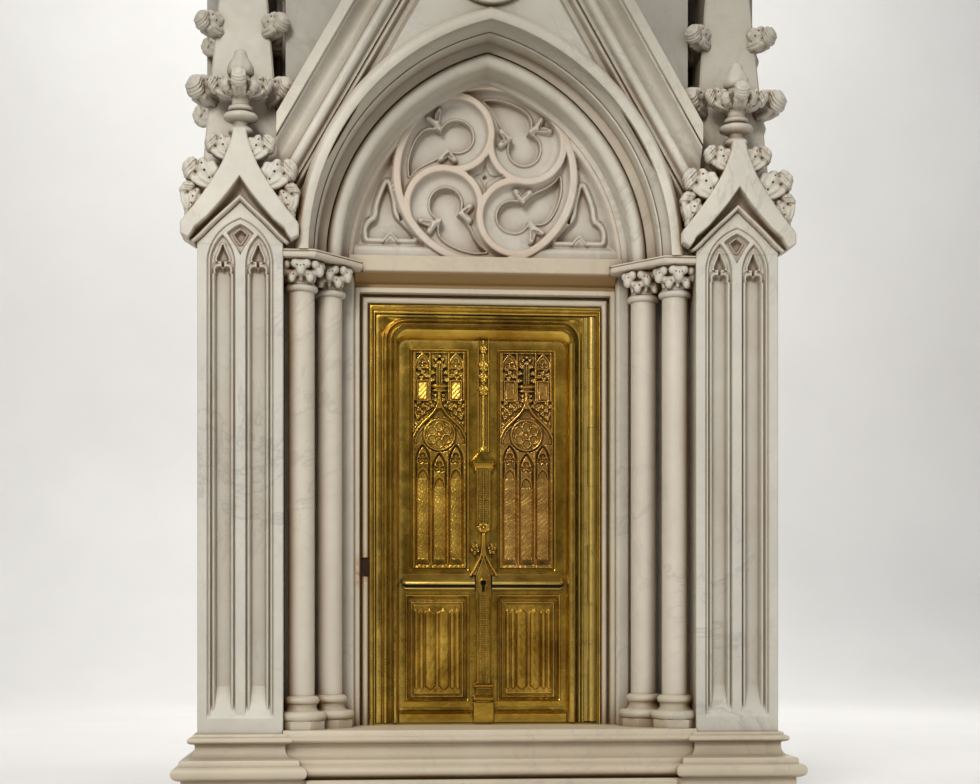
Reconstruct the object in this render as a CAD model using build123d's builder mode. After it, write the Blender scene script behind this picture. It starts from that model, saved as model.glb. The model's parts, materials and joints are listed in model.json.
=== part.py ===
from build123d import *
import math
import os

# Gothic altar tabernacle: a cast brass door in a carved marble front, with the
# stone chamber, its cedar lining, the lock and the hinge behind it.
# Millimetres. x = 0 is the centre line, z = 0 the underside of the plinth,
# y = 0 the face of the stone around the door; the front looks towards -Y.
# Paired pieces are built on the +X side ("right") and mirrored.

# ---------------------------------------------------------------- stone front
WALL_BACK = 60.0            # back of the carved front
PLINTH_TOP = 34.0           # top of the lower course
BASE_TOP = 92.0             # top of the buttress base mouldings
SILL_TOP = 96.0             # the door and the columns stand on this

BUTTRESS_X = 320.0          # buttress centre line
BUTTRESS_HALF = 54.0        # buttress half width
BUTTRESS_FRONT = -110.0     # buttress face
BUTTRESS_TOP = 712.0        # top of the panelled shaft
BUTTRESS_IN = BUTTRESS_X - BUTTRESS_HALF
BUTTRESS_OUT = BUTTRESS_X + BUTTRESS_HALF
BUTTRESS_MID_Y = (BUTTRESS_FRONT + WALL_BACK) / 2
BUTTRESS_DEPTH = WALL_BACK - BUTTRESS_FRONT

SPIRE_Y = -25.0             # spire axis
SPIRE_FOOT = 790.0
SPIRE_TOP = 1373.0
SPIRE_FOOT_HALF = 53.0
SPIRE_TOP_HALF = 4.5

COLUMN_IN = (208.5, -45.0)  # inner colonnette axis (x, y)
COLUMN_OUT = (244.0, -78.0) # outer colonnette axis (x, y)
COLUMN_RADIUS = 17.0
SHAFT_FOOT = 139.0
SHAFT_TOP = 658.0
ABACUS_FOOT = 698.0
ABACUS_TOP = 709.0
LINTEL_TOP = 720.0

OPEN_HALF = 156.0           # door opening in the stone
OPEN_TOP = 659.0
SURROUND_WIDTH = 19.5       # moulded surround, at the sides
SURROUND_OUT = OPEN_HALF + SURROUND_WIDTH
SURROUND_TOP = 681.0

ARCH_OFFSET = 78.5          # arc centres stand this far past the centre line
SPRING = 706.0              # springing line
R_FIELD = 262.0             # tympanum edge
R_ORDER = 303.0             # joint between the two arch orders
R_HOOD = 330.0              # outside of the hood mould

GABLE_FACE = -60.0          # plain face of the gable and screen walls
GABLE_FOOT_X = BUTTRESS_IN
GABLE_SLOPE = 1.753         # rise per unit of run of the gable rake
GABLE_FOOT = 896.0          # outer edge of the rake at the buttress
GABLE_APEX = GABLE_FOOT + GABLE_FOOT_X * GABLE_SLOPE
RAKE_DROP = 167.5           # vertical measure of the rake moulding
PARAPET = 1210.0

# ---------------------------------------------------------------- stone chamber
CHEEK_IN = 186.0            # inside of the side walls
CHEEK_OUT = BUTTRESS_IN     # outside of the side walls
CHAMBER_TOP = 689.0
CHAMBER_IN_BACK = 330.0     # inside of the back wall
CHAMBER_BACK = 360.0

# ---------------------------------------------------------------- door and lock
DOOR_X = -2.5               # centre line of the door's ornament
LEAF_LEFT, LEAF_RIGHT = -147.0, 134.0
LEAF_BOTTOM, LEAF_TOP = 99.0, 646.5
LEAF_FACE, LEAF_BACK = 2.0, 14.0
KEY_Z = 286.7               # round part of the keyhole
KEY_SLOT_Z = 280.0          # middle of the slot under it

BOLT_Z = 307.5
BOLT_HEIGHT = 14.0
BOLT_FRONT, BOLT_BACK = 18.0, 24.0
BOLT_MID_Y = (BOLT_FRONT + BOLT_BACK) / 2
BOLT_TIP = -143.0           # retracted
PASSAGE = (6.4, BOLT_HEIGHT + 0.4)  # depth and height of the bolt passages

os.makedirs("parts", exist_ok=True)


# ---------------------------------------------------------------- helpers
def front(y):
    """Vertical plane at y: local x is x, local y is z, positive extrusion goes to -Y.

    Extruding by y - y_end therefore ends at y_end.
    """
    return Plane.XZ.offset(-y)


def vertical_axis(x, y):
    return Axis((x, y, 0), (0, 0, 1))


def corners(left, bottom, right, top):
    return (left, bottom), (right, bottom), (right, top), (left, top)


def save(part, name):
    part.label = name
    export_step(part, f"parts/{name}.step")


def save_pair(right, name, about=Plane.YZ):
    """Save a right-hand piece and its mirror image, and return the mirror image."""
    with BuildPart() as left:
        mirror(right, about=about)
    save(right, name + "_right")
    save(left.part, name + "_left")
    return left.part


# ---------------------------------------------------------------- lower course
DOWEL_RADIUS = 6.5
DOWEL_DEPTH = 24.0
DOWEL_PITCH = (560.0, 120.0)
DOWEL_MID_Y = -25.0

with BuildPart() as lower_plinth:
    with BuildSketch(Plane.XY):
        with BuildLine():
            Polyline((-393, -129), (-236, -129), (-236, -136), (236, -136), (236, -129),
                     (393, -129), (393, WALL_BACK), (CHEEK_OUT, WALL_BACK),
                     (CHEEK_OUT, CHAMBER_BACK), (-CHEEK_OUT, CHAMBER_BACK),
                     (-CHEEK_OUT, WALL_BACK), (-393, WALL_BACK), close=True)
        make_face()
    extrude(amount=PLINTH_TOP)
    chamfer(lower_plinth.faces().sort_by(Axis.Z)[-1].edges().group_by(Axis.Y)[0], 4)
    # blind dowel holes in the underside
    with Locations((0, DOWEL_MID_Y, 0)):
        with GridLocations(*DOWEL_PITCH, 2, 2):
            Cylinder(DOWEL_RADIUS, 2 * DOWEL_DEPTH, mode=Mode.SUBTRACT)
save(lower_plinth.part, "lower_plinth")


# ---------------------------------------------------------------- buttress bases
def draw_base_moulding(face, outward, core):
    """Draw the base profile: its mouldings project from face, its far edge is at core."""
    def at(projection, z):
        return face + outward * projection, z

    Polyline(at(5, BASE_TOP), (core, BASE_TOP), (core, PLINTH_TOP), at(25, PLINTH_TOP))
    ThreePointArc(at(25, PLINTH_TOP), at(30, 46), at(25, 58.5))
    Line(at(25, 58.5), at(16, 60))
    ThreePointArc(at(16, 60), at(6.5, 66), at(4, 77))
    Polyline(at(4, 77), at(5, 77), at(5, 81))
    ThreePointArc(at(5, 81), at(11.5, 85.5), at(5, 90))
    Line(at(5, 90), at(5, BASE_TOP))


# the front moulding runs across, and is cut to the same profile at both sides
with BuildPart() as buttress_base_right:
    with BuildSketch(Plane.YZ.offset(200)):
        with BuildLine():
            draw_base_moulding(BUTTRESS_FRONT, -1, WALL_BACK)
        make_face()
    extrude(amount=260)
    with BuildSketch(front(-160)):
        for side, face in ((-1, BUTTRESS_IN), (1, BUTTRESS_OUT)):
            with BuildLine():
                draw_base_moulding(face, side, BUTTRESS_X)
            make_face()
    extrude(amount=-260, mode=Mode.INTERSECT)
buttress_base_left = save_pair(buttress_base_right.part, "buttress_base")

# ---------------------------------------------------------------- sill
with BuildPart() as sill_block:
    with BuildSketch(Plane.YZ.offset(-BUTTRESS_IN)):
        with BuildLine():
            Polyline((-112, SILL_TOP), (WALL_BACK, SILL_TOP), (WALL_BACK, PLINTH_TOP),
                     (-135, PLINTH_TOP), (-135, 38))
            ThreePointArc((-135, 38), (-116, 46), (-104, 61))
            Polyline((-104, 61), (-100, 61), (-100, 76), (-111, 78))
            ThreePointArc((-111, 78), (-119, 86.5), (-112, SILL_TOP))
        make_face()
    extrude(amount=2 * BUTTRESS_IN)
    add(buttress_base_right.part, mode=Mode.SUBTRACT)
    add(buttress_base_left, mode=Mode.SUBTRACT)
save(sill_block.part, "sill_block")

# ---------------------------------------------------------------- buttress shafts
LIGHT_OFFSET = 18.0         # blind light from the buttress centre line
LIGHT_HALF = 13.0
LIGHT_FOOT, LIGHT_SPRING, LIGHT_TOP = 122, 680, 706
LIGHT_ARC = 34

with BuildPart() as buttress_right:
    with BuildSketch(Plane.XY.offset(BASE_TOP)):
        with Locations((BUTTRESS_X, BUTTRESS_MID_Y)):
            Rectangle(2 * BUTTRESS_HALF, BUTTRESS_DEPTH)
    extrude(amount=BUTTRESS_TOP - BASE_TOP)
    # two pointed blind lights with splayed sides
    for light_x in (BUTTRESS_X - LIGHT_OFFSET, BUTTRESS_X + LIGHT_OFFSET):
        left, right = light_x - LIGHT_HALF, light_x + LIGHT_HALF
        with BuildSketch(front(BUTTRESS_FRONT)):
            with BuildLine():
                Polyline((left, LIGHT_SPRING), (left, LIGHT_FOOT),
                         (right, LIGHT_FOOT), (right, LIGHT_SPRING))
                RadiusArc((right, LIGHT_SPRING), (light_x, LIGHT_TOP), -LIGHT_ARC)
                RadiusArc((light_x, LIGHT_TOP), (left, LIGHT_SPRING), -LIGHT_ARC)
            make_face()
        extrude(amount=-12, taper=22, mode=Mode.SUBTRACT)
save_pair(buttress_right.part, "buttress")

# ---------------------------------------------------------------- gablets
GABLET_HALF = 74.0          # half width at the foot
GABLET_LEFT, GABLET_RIGHT = BUTTRESS_X - GABLET_HALF, BUTTRESS_X + GABLET_HALF
GABLET_FRONT = -125.0
GABLET_HOOD_BACK = -80.0
GABLET_FOOT = 724.0
GABLET_APEX = 854.0
CROCKETS = ((60, 757), (40, 788), (24, 822))  # distance from the centre line, z

with BuildPart() as gablet_right:
    with BuildSketch(Plane.XY.offset(BUTTRESS_TOP)):
        with Locations((BUTTRESS_X, BUTTRESS_MID_Y)):
            Rectangle(2 * BUTTRESS_HALF, BUTTRESS_DEPTH)
    extrude(amount=SPIRE_FOOT - BUTTRESS_TOP)
    # curved hood
    with BuildSketch(front(GABLET_FRONT)):
        with BuildLine():
            Line((GABLET_LEFT, GABLET_FOOT), (GABLET_LEFT, 736))
            ThreePointArc((GABLET_LEFT, 736), (BUTTRESS_X - 34, 782),
                          (BUTTRESS_X - 10, GABLET_APEX))
            Line((BUTTRESS_X - 10, GABLET_APEX), (BUTTRESS_X + 10, GABLET_APEX))
            ThreePointArc((BUTTRESS_X + 10, GABLET_APEX), (BUTTRESS_X + 34, 782),
                          (GABLET_RIGHT, 736))
            Line((GABLET_RIGHT, 736), (GABLET_RIGHT, GABLET_FOOT))
            ThreePointArc((GABLET_RIGHT, GABLET_FOOT), (BUTTRESS_X + 30, 754), (BUTTRESS_X, 800))
            ThreePointArc((BUTTRESS_X, 800), (BUTTRESS_X - 30, 754), (GABLET_LEFT, GABLET_FOOT))
        make_face()
    extrude(amount=GABLET_FRONT - GABLET_HOOD_BACK)
    # face behind the hood
    with BuildSketch(front(-112)):
        with BuildLine():
            Polyline((BUTTRESS_X - 60, GABLET_FOOT), (BUTTRESS_X - 30, 770), (BUTTRESS_X, 830),
                     (BUTTRESS_X + 30, 770), (BUTTRESS_X + 60, GABLET_FOOT), close=True)
        make_face()
    extrude(amount=-112 - GABLET_HOOD_BACK)
    # crockets on the hood, as plain discs
    for distance, z in CROCKETS:
        for side in (-1, 1):
            with Locations((BUTTRESS_X + side * distance, -104, z)):
                Cylinder(15, 34, rotation=(90, 0, 0))
    # seat of the finial
    with Locations((BUTTRESS_X, -103, GABLET_APEX - 6)):
        Cylinder(11, 12)
gablet_left = save_pair(gablet_right.part, "gablet")


# ---------------------------------------------------------------- gablet finials
def turned_finial(profile, axis_x, axis_y, cutters=()):
    """Revolve a (radius, z) profile about a vertical axis, then cut away the cutters."""
    with BuildPart() as finial:
        with BuildSketch(front(axis_y)):
            with BuildLine():
                Polyline(*[(axis_x + radius, z) for radius, z in profile], close=True)
            make_face()
        revolve(axis=vertical_axis(axis_x, axis_y))
        for cutter in cutters:
            add(cutter, mode=Mode.SUBTRACT)
    return finial.part


GABLET_FINIAL = (  # radius, z
    (0, 854), (11, 854), (15, 858), (15, 864), (10, 868), (10, 874), (19, 877),
    (21.7, 880), (19, 883), (12, 886), (15, 889), (11, 893), (11.5, 908), (30, 914),
    (33, 921), (27, 927), (15, 931), (19, 940), (15, 950), (7.7, 961), (0, 966),
)
save_pair(turned_finial(GABLET_FINIAL, BUTTRESS_X, -103), "gablet_finial")

# ---------------------------------------------------------------- spires
# z, radius of the rings of corner crockets
SPIRE_CROCKETS = ((918, 16), (1020, 15), (1108, 13), (1208, 12), (1306, 10))

with BuildPart() as spire_right:
    for z, half in ((SPIRE_FOOT, SPIRE_FOOT_HALF), (SPIRE_TOP, SPIRE_TOP_HALF)):
        with BuildSketch(Plane.XY.offset(z)):
            with Locations((BUTTRESS_X, SPIRE_Y)):
                Rectangle(2 * half, 2 * half)
    loft()
    for z, radius in SPIRE_CROCKETS:
        risen = (z - SPIRE_FOOT) / (SPIRE_TOP - SPIRE_FOOT)
        half = SPIRE_FOOT_HALF - (SPIRE_FOOT_HALF - SPIRE_TOP_HALF) * risen
        with Locations((BUTTRESS_X, SPIRE_Y, z)):
            with GridLocations(2 * half + 2, 2 * half + 2, 2, 2):
                Cylinder(radius, 1.5 * radius)
    # finial: neck, disc and cone
    for z, radius, height in ((1378, 8, 22), (1392, 20, 24)):
        with Locations((BUTTRESS_X, SPIRE_Y, z)):
            Cylinder(radius, height)
    with Locations((BUTTRESS_X, SPIRE_Y, 1412)):
        Cone(13, 4, 24)
save_pair(spire_right.part, "spire")

# ---------------------------------------------------------------- jambs
with BuildPart() as jamb_right:
    with BuildSketch(Plane.XY.offset(SILL_TOP)):
        with BuildLine():
            Polyline((SURROUND_OUT, -14), (178, -20), (192, -20), (197, -12),
                     (BUTTRESS_IN, -12), (BUTTRESS_IN, WALL_BACK), (SURROUND_OUT, WALL_BACK),
                     close=True)
        make_face()
    extrude(amount=ABACUS_FOOT - SILL_TOP)
save_pair(jamb_right.part, "jamb")

# ---------------------------------------------------------------- colonnettes
BASE_BLOCK_TOP = 106        # the round mouldings overlap the octagon by 1

with BuildPart() as column_bases_right:
    for column_x, column_y in (COLUMN_IN, COLUMN_OUT):
        with BuildSketch(Plane.XY.offset(SILL_TOP)):
            with Locations((column_x, column_y)):
                RegularPolygon(30, 8, major_radius=False, rotation=22.5)
        extrude(amount=BASE_BLOCK_TOP + 1 - SILL_TOP)
        with BuildSketch(front(column_y)):
            with BuildLine():
                Polyline((column_x, SHAFT_FOOT), (column_x, BASE_BLOCK_TOP),
                         (column_x + 29, BASE_BLOCK_TOP))
                ThreePointArc((column_x + 29, BASE_BLOCK_TOP), (column_x + 33, 112.5),
                              (column_x + 29, 119))
                ThreePointArc((column_x + 29, 119), (column_x + 20, 123), (column_x + 20.5, 128))
                ThreePointArc((column_x + 20.5, 128), (column_x + 23.4, 133),
                              (column_x + 20, 138))
                Polyline((column_x + 20, 138), (column_x + 18.5, SHAFT_FOOT),
                         (column_x, SHAFT_FOOT))
            make_face()
        revolve(axis=vertical_axis(column_x, column_y))
    add(jamb_right.part, mode=Mode.SUBTRACT)
    # trimmed to the side of the buttress
    with Locations((BUTTRESS_IN + 50, 0, 120)):
        Box(100, 400, 100, mode=Mode.SUBTRACT)
save_pair(column_bases_right.part, "column_bases")

for name, centre in (("inner_shaft", COLUMN_IN), ("outer_shaft", COLUMN_OUT)):
    with BuildPart() as shaft_right:
        with BuildSketch(Plane.XY.offset(SHAFT_FOOT)):
            with Locations(centre):
                Circle(COLUMN_RADIUS)
        extrude(amount=SHAFT_TOP - SHAFT_FOOT)
    save_pair(shaft_right.part, name)

with BuildPart() as capital_right:
    for column_x, column_y in (COLUMN_IN, COLUMN_OUT):
        with BuildSketch(front(column_y)):
            with BuildLine():
                Polyline((column_x, ABACUS_FOOT), (column_x, SHAFT_TOP),
                         (column_x + 18, SHAFT_TOP))
                ThreePointArc((column_x + 18, SHAFT_TOP), (column_x + 21.5, 662.5),
                              (column_x + 18, 667))
                ThreePointArc((column_x + 18, 667), (column_x + 20, 684), (column_x + 30, 697))
                Polyline((column_x + 30, 697), (column_x + 28, ABACUS_FOOT),
                         (column_x, ABACUS_FOOT))
            make_face()
        revolve(axis=vertical_axis(column_x, column_y))
    add(jamb_right.part, mode=Mode.SUBTRACT)
    with Locations((BUTTRESS_IN + 50, 0, 680)):
        Box(100, 400, 100, mode=Mode.SUBTRACT)
    # abacus shared by both capitals
    with BuildSketch(Plane.XY.offset(ABACUS_FOOT)):
        with BuildLine():
            Polyline((BUTTRESS_IN, -109), (225, -109), (165, -42), (165, WALL_BACK),
                     (BUTTRESS_IN, WALL_BACK), close=True)
        make_face()
    extrude(amount=ABACUS_TOP - ABACUS_FOOT)
capital_left = save_pair(capital_right.part, "capital")

# ---------------------------------------------------------------- iron keep for the lock bolt
KEEP_WIDTH, KEEP_HEIGHT = 8, 26
KEEP_X = -OPEN_HALF - KEEP_WIDTH / 2

with BuildPart() as strike_box:
    with Locations((KEEP_X, 13, BOLT_Z)):
        Box(KEEP_WIDTH, 34, KEEP_HEIGHT)
    with Locations((-158.6, BOLT_MID_Y, BOLT_Z)):
        Box(5.4, 12, 18, mode=Mode.SUBTRACT)
save(strike_box.part, "strike_box")

# ---------------------------------------------------------------- moulded door surround
# inner and outer distance from the opening, y of the face
SURROUND_ROLLS = ((1.5, 9.5, -8.0), (12.5, SURROUND_WIDTH, -14.0))


def surround_top(distance):
    """Height of the band's top edge at a given distance from the opening."""
    return OPEN_TOP + distance * (SURROUND_TOP - OPEN_TOP) / SURROUND_WIDTH


with BuildPart() as door_surround:
    with BuildSketch(front(WALL_BACK)):
        with BuildLine():
            Polyline((-SURROUND_OUT, SILL_TOP), (-SURROUND_OUT, SURROUND_TOP),
                     (SURROUND_OUT, SURROUND_TOP), (SURROUND_OUT, SILL_TOP),
                     (OPEN_HALF, SILL_TOP), (OPEN_HALF, OPEN_TOP),
                     (-OPEN_HALF, OPEN_TOP), (-OPEN_HALF, SILL_TOP), close=True)
        make_face()
    extrude(amount=WALL_BACK)
    # raised inner and outer bands, each an inverted U
    for inner, outer, y in SURROUND_ROLLS:
        with BuildSketch(front(y)):
            with BuildLine():
                Polyline((-OPEN_HALF - outer, SILL_TOP), (-OPEN_HALF - outer, surround_top(outer)),
                         (OPEN_HALF + outer, surround_top(outer)), (OPEN_HALF + outer, SILL_TOP),
                         (OPEN_HALF + inner, SILL_TOP), (OPEN_HALF + inner, surround_top(inner)),
                         (-OPEN_HALF - inner, surround_top(inner)),
                         (-OPEN_HALF - inner, SILL_TOP), close=True)
            make_face()
        extrude(amount=y)
    # pocket for the iron keep, open at the front
    with Locations((KEEP_X, 10, BOLT_Z)):
        Box(KEEP_WIDTH, 40, KEEP_HEIGHT, mode=Mode.SUBTRACT)
save(door_surround.part, "door_surround")

# ---------------------------------------------------------------- lintel
LINTEL_FRONT = -30
LINTEL_HALF = 183           # half width of the upper bed

with BuildPart() as lintel:
    with BuildSketch(Plane.YZ.offset(-SURROUND_OUT)):
        with BuildLine():
            Polyline((WALL_BACK, SURROUND_TOP), (-8, SURROUND_TOP), (-8, 686), (-12, 688),
                     (LINTEL_FRONT, 700), (LINTEL_FRONT, ABACUS_TOP), (WALL_BACK, ABACUS_TOP),
                     close=True)
        make_face()
    extrude(amount=2 * SURROUND_OUT)
    add(capital_right.part, mode=Mode.SUBTRACT)
    add(capital_left, mode=Mode.SUBTRACT)
    # upper bed, running between the arch orders
    with BuildSketch(front(LINTEL_FRONT)):
        with BuildLine():
            Polyline(*corners(-LINTEL_HALF, ABACUS_TOP, LINTEL_HALF, LINTEL_TOP), close=True)
        make_face()
    extrude(amount=LINTEL_FRONT - WALL_BACK)
    # ends cut back to the curve of the arch, left then right
    for side in (1, -1):
        cut_in = side * (ARCH_OFFSET - R_FIELD)
        cut_out = side * (ARCH_OFFSET - R_FIELD - 20)
        with BuildSketch(Plane.XY.offset(SPRING)):
            with BuildLine():
                Polyline((cut_out, -60), (cut_out, WALL_BACK + 1), (cut_in, WALL_BACK + 1),
                         (cut_in, -60), close=True)
            make_face()
        revolve(axis=Axis((side * ARCH_OFFSET, 0, SPRING), (0, side, 0)), revolution_arc=8,
                mode=Mode.SUBTRACT)
save(lintel.part, "lintel")

# ---------------------------------------------------------------- arch orders
INNER_ORDER = (  # radius from the arc centre, y
    (R_ORDER, -48), (R_ORDER, WALL_BACK), (R_FIELD, WALL_BACK), (R_FIELD, -15),
    (271, -17), (272, -40), (274, -48), (278, -53), (284, -53), (288, -48), (290, -40),
    (292, -46), (R_ORDER, -48),
)


def arch_points(profile):
    """Place (radius, y) points at the left springing of the arch."""
    return [(ARCH_OFFSET - radius, y) for radius, y in profile]


def revolve_pointed_arch():
    """Turn the current profile into the left half arch, mirror it, and level its feet."""
    revolve(axis=Axis((ARCH_OFFSET, 0, SPRING), (0, 1, 0)), revolution_arc=90)
    split(bisect_by=Plane.YZ, keep=Keep.BOTTOM)
    mirror(about=Plane.YZ)
    split(bisect_by=Plane.XY.offset(ABACUS_TOP), keep=Keep.TOP)


with BuildPart() as arch_inner_order:
    with BuildSketch(Plane.XY.offset(SPRING)):
        with BuildLine():
            Polyline(*arch_points(INNER_ORDER))
        make_face()
    revolve_pointed_arch()
save(arch_inner_order.part, "arch_inner_order")

with BuildPart() as arch_outer_order:
    with BuildSketch(Plane.XY.offset(SPRING)):
        with BuildLine():
            Polyline(*arch_points(((R_HOOD, -102), (R_HOOD, WALL_BACK), (R_ORDER, WALL_BACK),
                                   (R_ORDER, -74), (306, -77), (307.5, -82))))
            ThreePointArc(*arch_points(((307.5, -82), (313, -92), (312.3, -107))))
            Polyline(*arch_points(((312.3, -107), (312.3, BUTTRESS_FRONT),
                                   (323.8, BUTTRESS_FRONT), (R_HOOD, -102))))
        make_face()
    revolve_pointed_arch()
    add(gablet_right.part, mode=Mode.SUBTRACT)
    add(gablet_left, mode=Mode.SUBTRACT)
save(arch_outer_order.part, "arch_outer_order")


# ---------------------------------------------------------------- tympanum with wheel tracery
def draw_pointed_field(radius):
    """Draw the pointed outline above the springing line inside an arch of this radius."""
    left, right = (ARCH_OFFSET - radius, SPRING), (radius - ARCH_OFFSET, SPRING)
    apex = (0, SPRING + math.sqrt(radius ** 2 - ARCH_OFFSET ** 2))
    Line(left, right)
    RadiusArc(right, apex, -radius)
    RadiusArc(apex, left, -radius)


WHEEL_Z = 834.8             # hub of the wheel
WHEEL_RADIUS = 124.2
LOBE_ANGLES = [math.radians(36.6 + 90 * k) for k in range(4)]
LOBES = [(70 * math.cos(angle), WHEEL_Z + 70 * math.sin(angle)) for angle in LOBE_ANGLES]
FIELD_FACE = 8              # sunk face behind the tracery

with BuildPart() as tympanum:
    with BuildSketch(front(FIELD_FACE)):
        with BuildLine():
            draw_pointed_field(R_FIELD)
        make_face()
    extrude(amount=FIELD_FACE - WALL_BACK)
    # outer ring and four round lobes
    with BuildSketch(front(-12)):
        with Locations((0, WHEEL_Z)):
            Circle(WHEEL_RADIUS)
            Circle(WHEEL_RADIUS - 10, mode=Mode.SUBTRACT)
        for radius, mode in ((54, Mode.ADD), (46, Mode.SUBTRACT)):
            for lobe in LOBES:
                with Locations(lobe):
                    Circle(radius, mode=mode)
    extrude(amount=-12 - FIELD_FACE)
    # trim the wheel to the arch
    with BuildSketch(front(-20)):
        with BuildLine():
            draw_pointed_field(R_FIELD)
        make_face()
    extrude(amount=-20 - WALL_BACK, mode=Mode.INTERSECT)
    split(bisect_by=Plane.XY.offset(LINTEL_TOP), keep=Keep.TOP)
save(tympanum.part, "tympanum")


# ---------------------------------------------------------------- gable
def gable_outline(drop):
    """Outline of the gable with its slopes lowered by drop."""
    return ((-GABLE_FOOT_X, ABACUS_TOP), (-GABLE_FOOT_X, GABLE_FOOT - drop),
            (0, GABLE_APEX - drop), (GABLE_FOOT_X, GABLE_FOOT - drop),
            (GABLE_FOOT_X, ABACUS_TOP))


# cutter for everything inside the hood mould
with BuildPart() as hood_void:
    with BuildSketch(front(-160)):
        with BuildLine():
            draw_pointed_field(R_HOOD)
        make_face()
    extrude(amount=-260)

with BuildPart() as gable_wall:
    # full wall, then the raised field below the rake mouldings: drop, front, back
    for drop, y, back in ((0, GABLE_FACE, WALL_BACK), (RAKE_DROP, -98, GABLE_FACE)):
        with BuildSketch(front(y)):
            with BuildLine():
                Polyline(*gable_outline(drop), close=True)
            make_face()
        extrude(amount=y - back)
    add(hood_void.part, mode=Mode.SUBTRACT)
    add(gablet_right.part, mode=Mode.SUBTRACT)
    add(gablet_left, mode=Mode.SUBTRACT)
save(gable_wall.part, "gable_wall")

# stepped rake moulding: upper and lower edge as shares of RAKE_DROP, y of the face
RAKE_STEPS = (
    (0.0, 0.16, -112.0),    # band
    (0.16, 0.5, -92.0),     # hollow
    (0.5, 0.7, -108.0),     # roll
    (0.7, 0.82, -98.0),
    (0.82, 1.0, -104.0),    # field edge
)

with BuildPart() as gable_rake_right:
    for upper, lower, y in RAKE_STEPS:
        with BuildSketch(front(y)):
            with BuildLine():
                Polyline((0, GABLE_APEX - upper * RAKE_DROP),
                         (GABLE_FOOT_X, GABLE_FOOT - upper * RAKE_DROP),
                         (GABLE_FOOT_X, GABLE_FOOT - lower * RAKE_DROP),
                         (0, GABLE_APEX - lower * RAKE_DROP), close=True)
            make_face()
        extrude(amount=y - GABLE_FACE)
    add(hood_void.part, mode=Mode.SUBTRACT)
    add(gablet_right.part, mode=Mode.SUBTRACT)
gable_rake_left = save_pair(gable_rake_right.part, "gable_rake")

GABLE_FINIAL = (  # radius, z
    (0, 1336), (11, 1336), (11, 1384), (19, 1388), (19, 1391), (11, 1394), (11, 1400),
    (30, 1408), (34, 1416), (26, 1423), (15, 1426), (17, 1434), (6, 1450), (0, 1454),
)
save(turned_finial(GABLE_FINIAL, 0, -86,
                   (gable_rake_right.part, gable_rake_left, gable_wall.part)), "gable_finial")

# ---------------------------------------------------------------- screen walls
SCREEN_IN = GABLE_FOOT_X - 1.0      # overlaps the foot of the gable
SCREEN_THIN_FACE = 30               # face of the thin wall behind the spire
RAKE_PARAPET_X = (GABLE_APEX - PARAPET) / GABLE_SLOPE  # where the rake meets the parapet

with BuildPart() as screen_wall_right:
    # triangle between the rake and the buttress
    with BuildSketch(front(GABLE_FACE)):
        with BuildLine():
            Polyline((SCREEN_IN, GABLE_FOOT + GABLE_SLOPE), (SCREEN_IN, PARAPET),
                     (RAKE_PARAPET_X, PARAPET), close=True)
        make_face()
    extrude(amount=GABLE_FACE - WALL_BACK)
    with BuildSketch(front(SCREEN_THIN_FACE)):
        with BuildLine():
            Polyline(*corners(SCREEN_IN, SPIRE_FOOT, BUTTRESS_OUT, PARAPET), close=True)
        make_face()
    extrude(amount=SCREEN_THIN_FACE - WALL_BACK)
    add(gable_wall.part, mode=Mode.SUBTRACT)
    # raised coping along the parapet, 6 proud of both faces
    with BuildSketch(Plane.XY.offset(PARAPET)):
        with BuildLine():
            Polyline((RAKE_PARAPET_X + 6, GABLE_FACE - 6), (SCREEN_IN, GABLE_FACE - 6),
                     (SCREEN_IN, SCREEN_THIN_FACE - 6), (BUTTRESS_OUT + 6, SCREEN_THIN_FACE - 6),
                     (BUTTRESS_OUT + 6, WALL_BACK), (RAKE_PARAPET_X + 6, WALL_BACK), close=True)
        make_face()
    extrude(amount=18)
    add(spire_right.part, mode=Mode.SUBTRACT)
    add(gable_wall.part, mode=Mode.SUBTRACT)
    add(gable_rake_right.part, mode=Mode.SUBTRACT)
save_pair(screen_wall_right.part, "screen_wall")


# ---------------------------------------------------------------- stone chamber
def save_chamber_slab(name, y_front, y_back, z_top):
    """A plain block between the cheeks, standing on the plinth."""
    with BuildPart() as slab:
        with BuildSketch(Plane.XY.offset(PLINTH_TOP)):
            with Locations((0, (y_front + y_back) / 2)):
                Rectangle(2 * CHEEK_IN, y_back - y_front)
        extrude(amount=z_top - PLINTH_TOP)
    save(slab.part, name)


with BuildPart() as chamber_cheek_right:
    with BuildSketch(Plane.XY.offset(PLINTH_TOP)):
        with Locations(((CHEEK_IN + CHEEK_OUT) / 2, (WALL_BACK + CHAMBER_BACK) / 2)):
            Rectangle(CHEEK_OUT - CHEEK_IN, CHAMBER_BACK - WALL_BACK)
    extrude(amount=CHAMBER_TOP - PLINTH_TOP)
    chamfer(chamber_cheek_right.edges().filter_by(Axis.Z).sort_by(Axis.X)[-1], 3)
save_pair(chamber_cheek_right.part, "chamber_cheek")

save_chamber_slab("chamber_floor", WALL_BACK, CHAMBER_IN_BACK, SILL_TOP)
save_chamber_slab("chamber_back", CHAMBER_IN_BACK, CHAMBER_BACK, CHAMBER_TOP)

with BuildPart() as chamber_roof:
    with BuildSketch(Plane.XY.offset(CHAMBER_TOP)):
        with Locations((0, (WALL_BACK + CHAMBER_BACK) / 2)):
            Rectangle(2 * CHEEK_OUT, CHAMBER_BACK - WALL_BACK)
    extrude(amount=50)
    chamfer(chamber_roof.faces().sort_by(Axis.Z)[-1].edges().filter_by(Axis.Y), 6)
save(chamber_roof.part, "chamber_roof")

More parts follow.
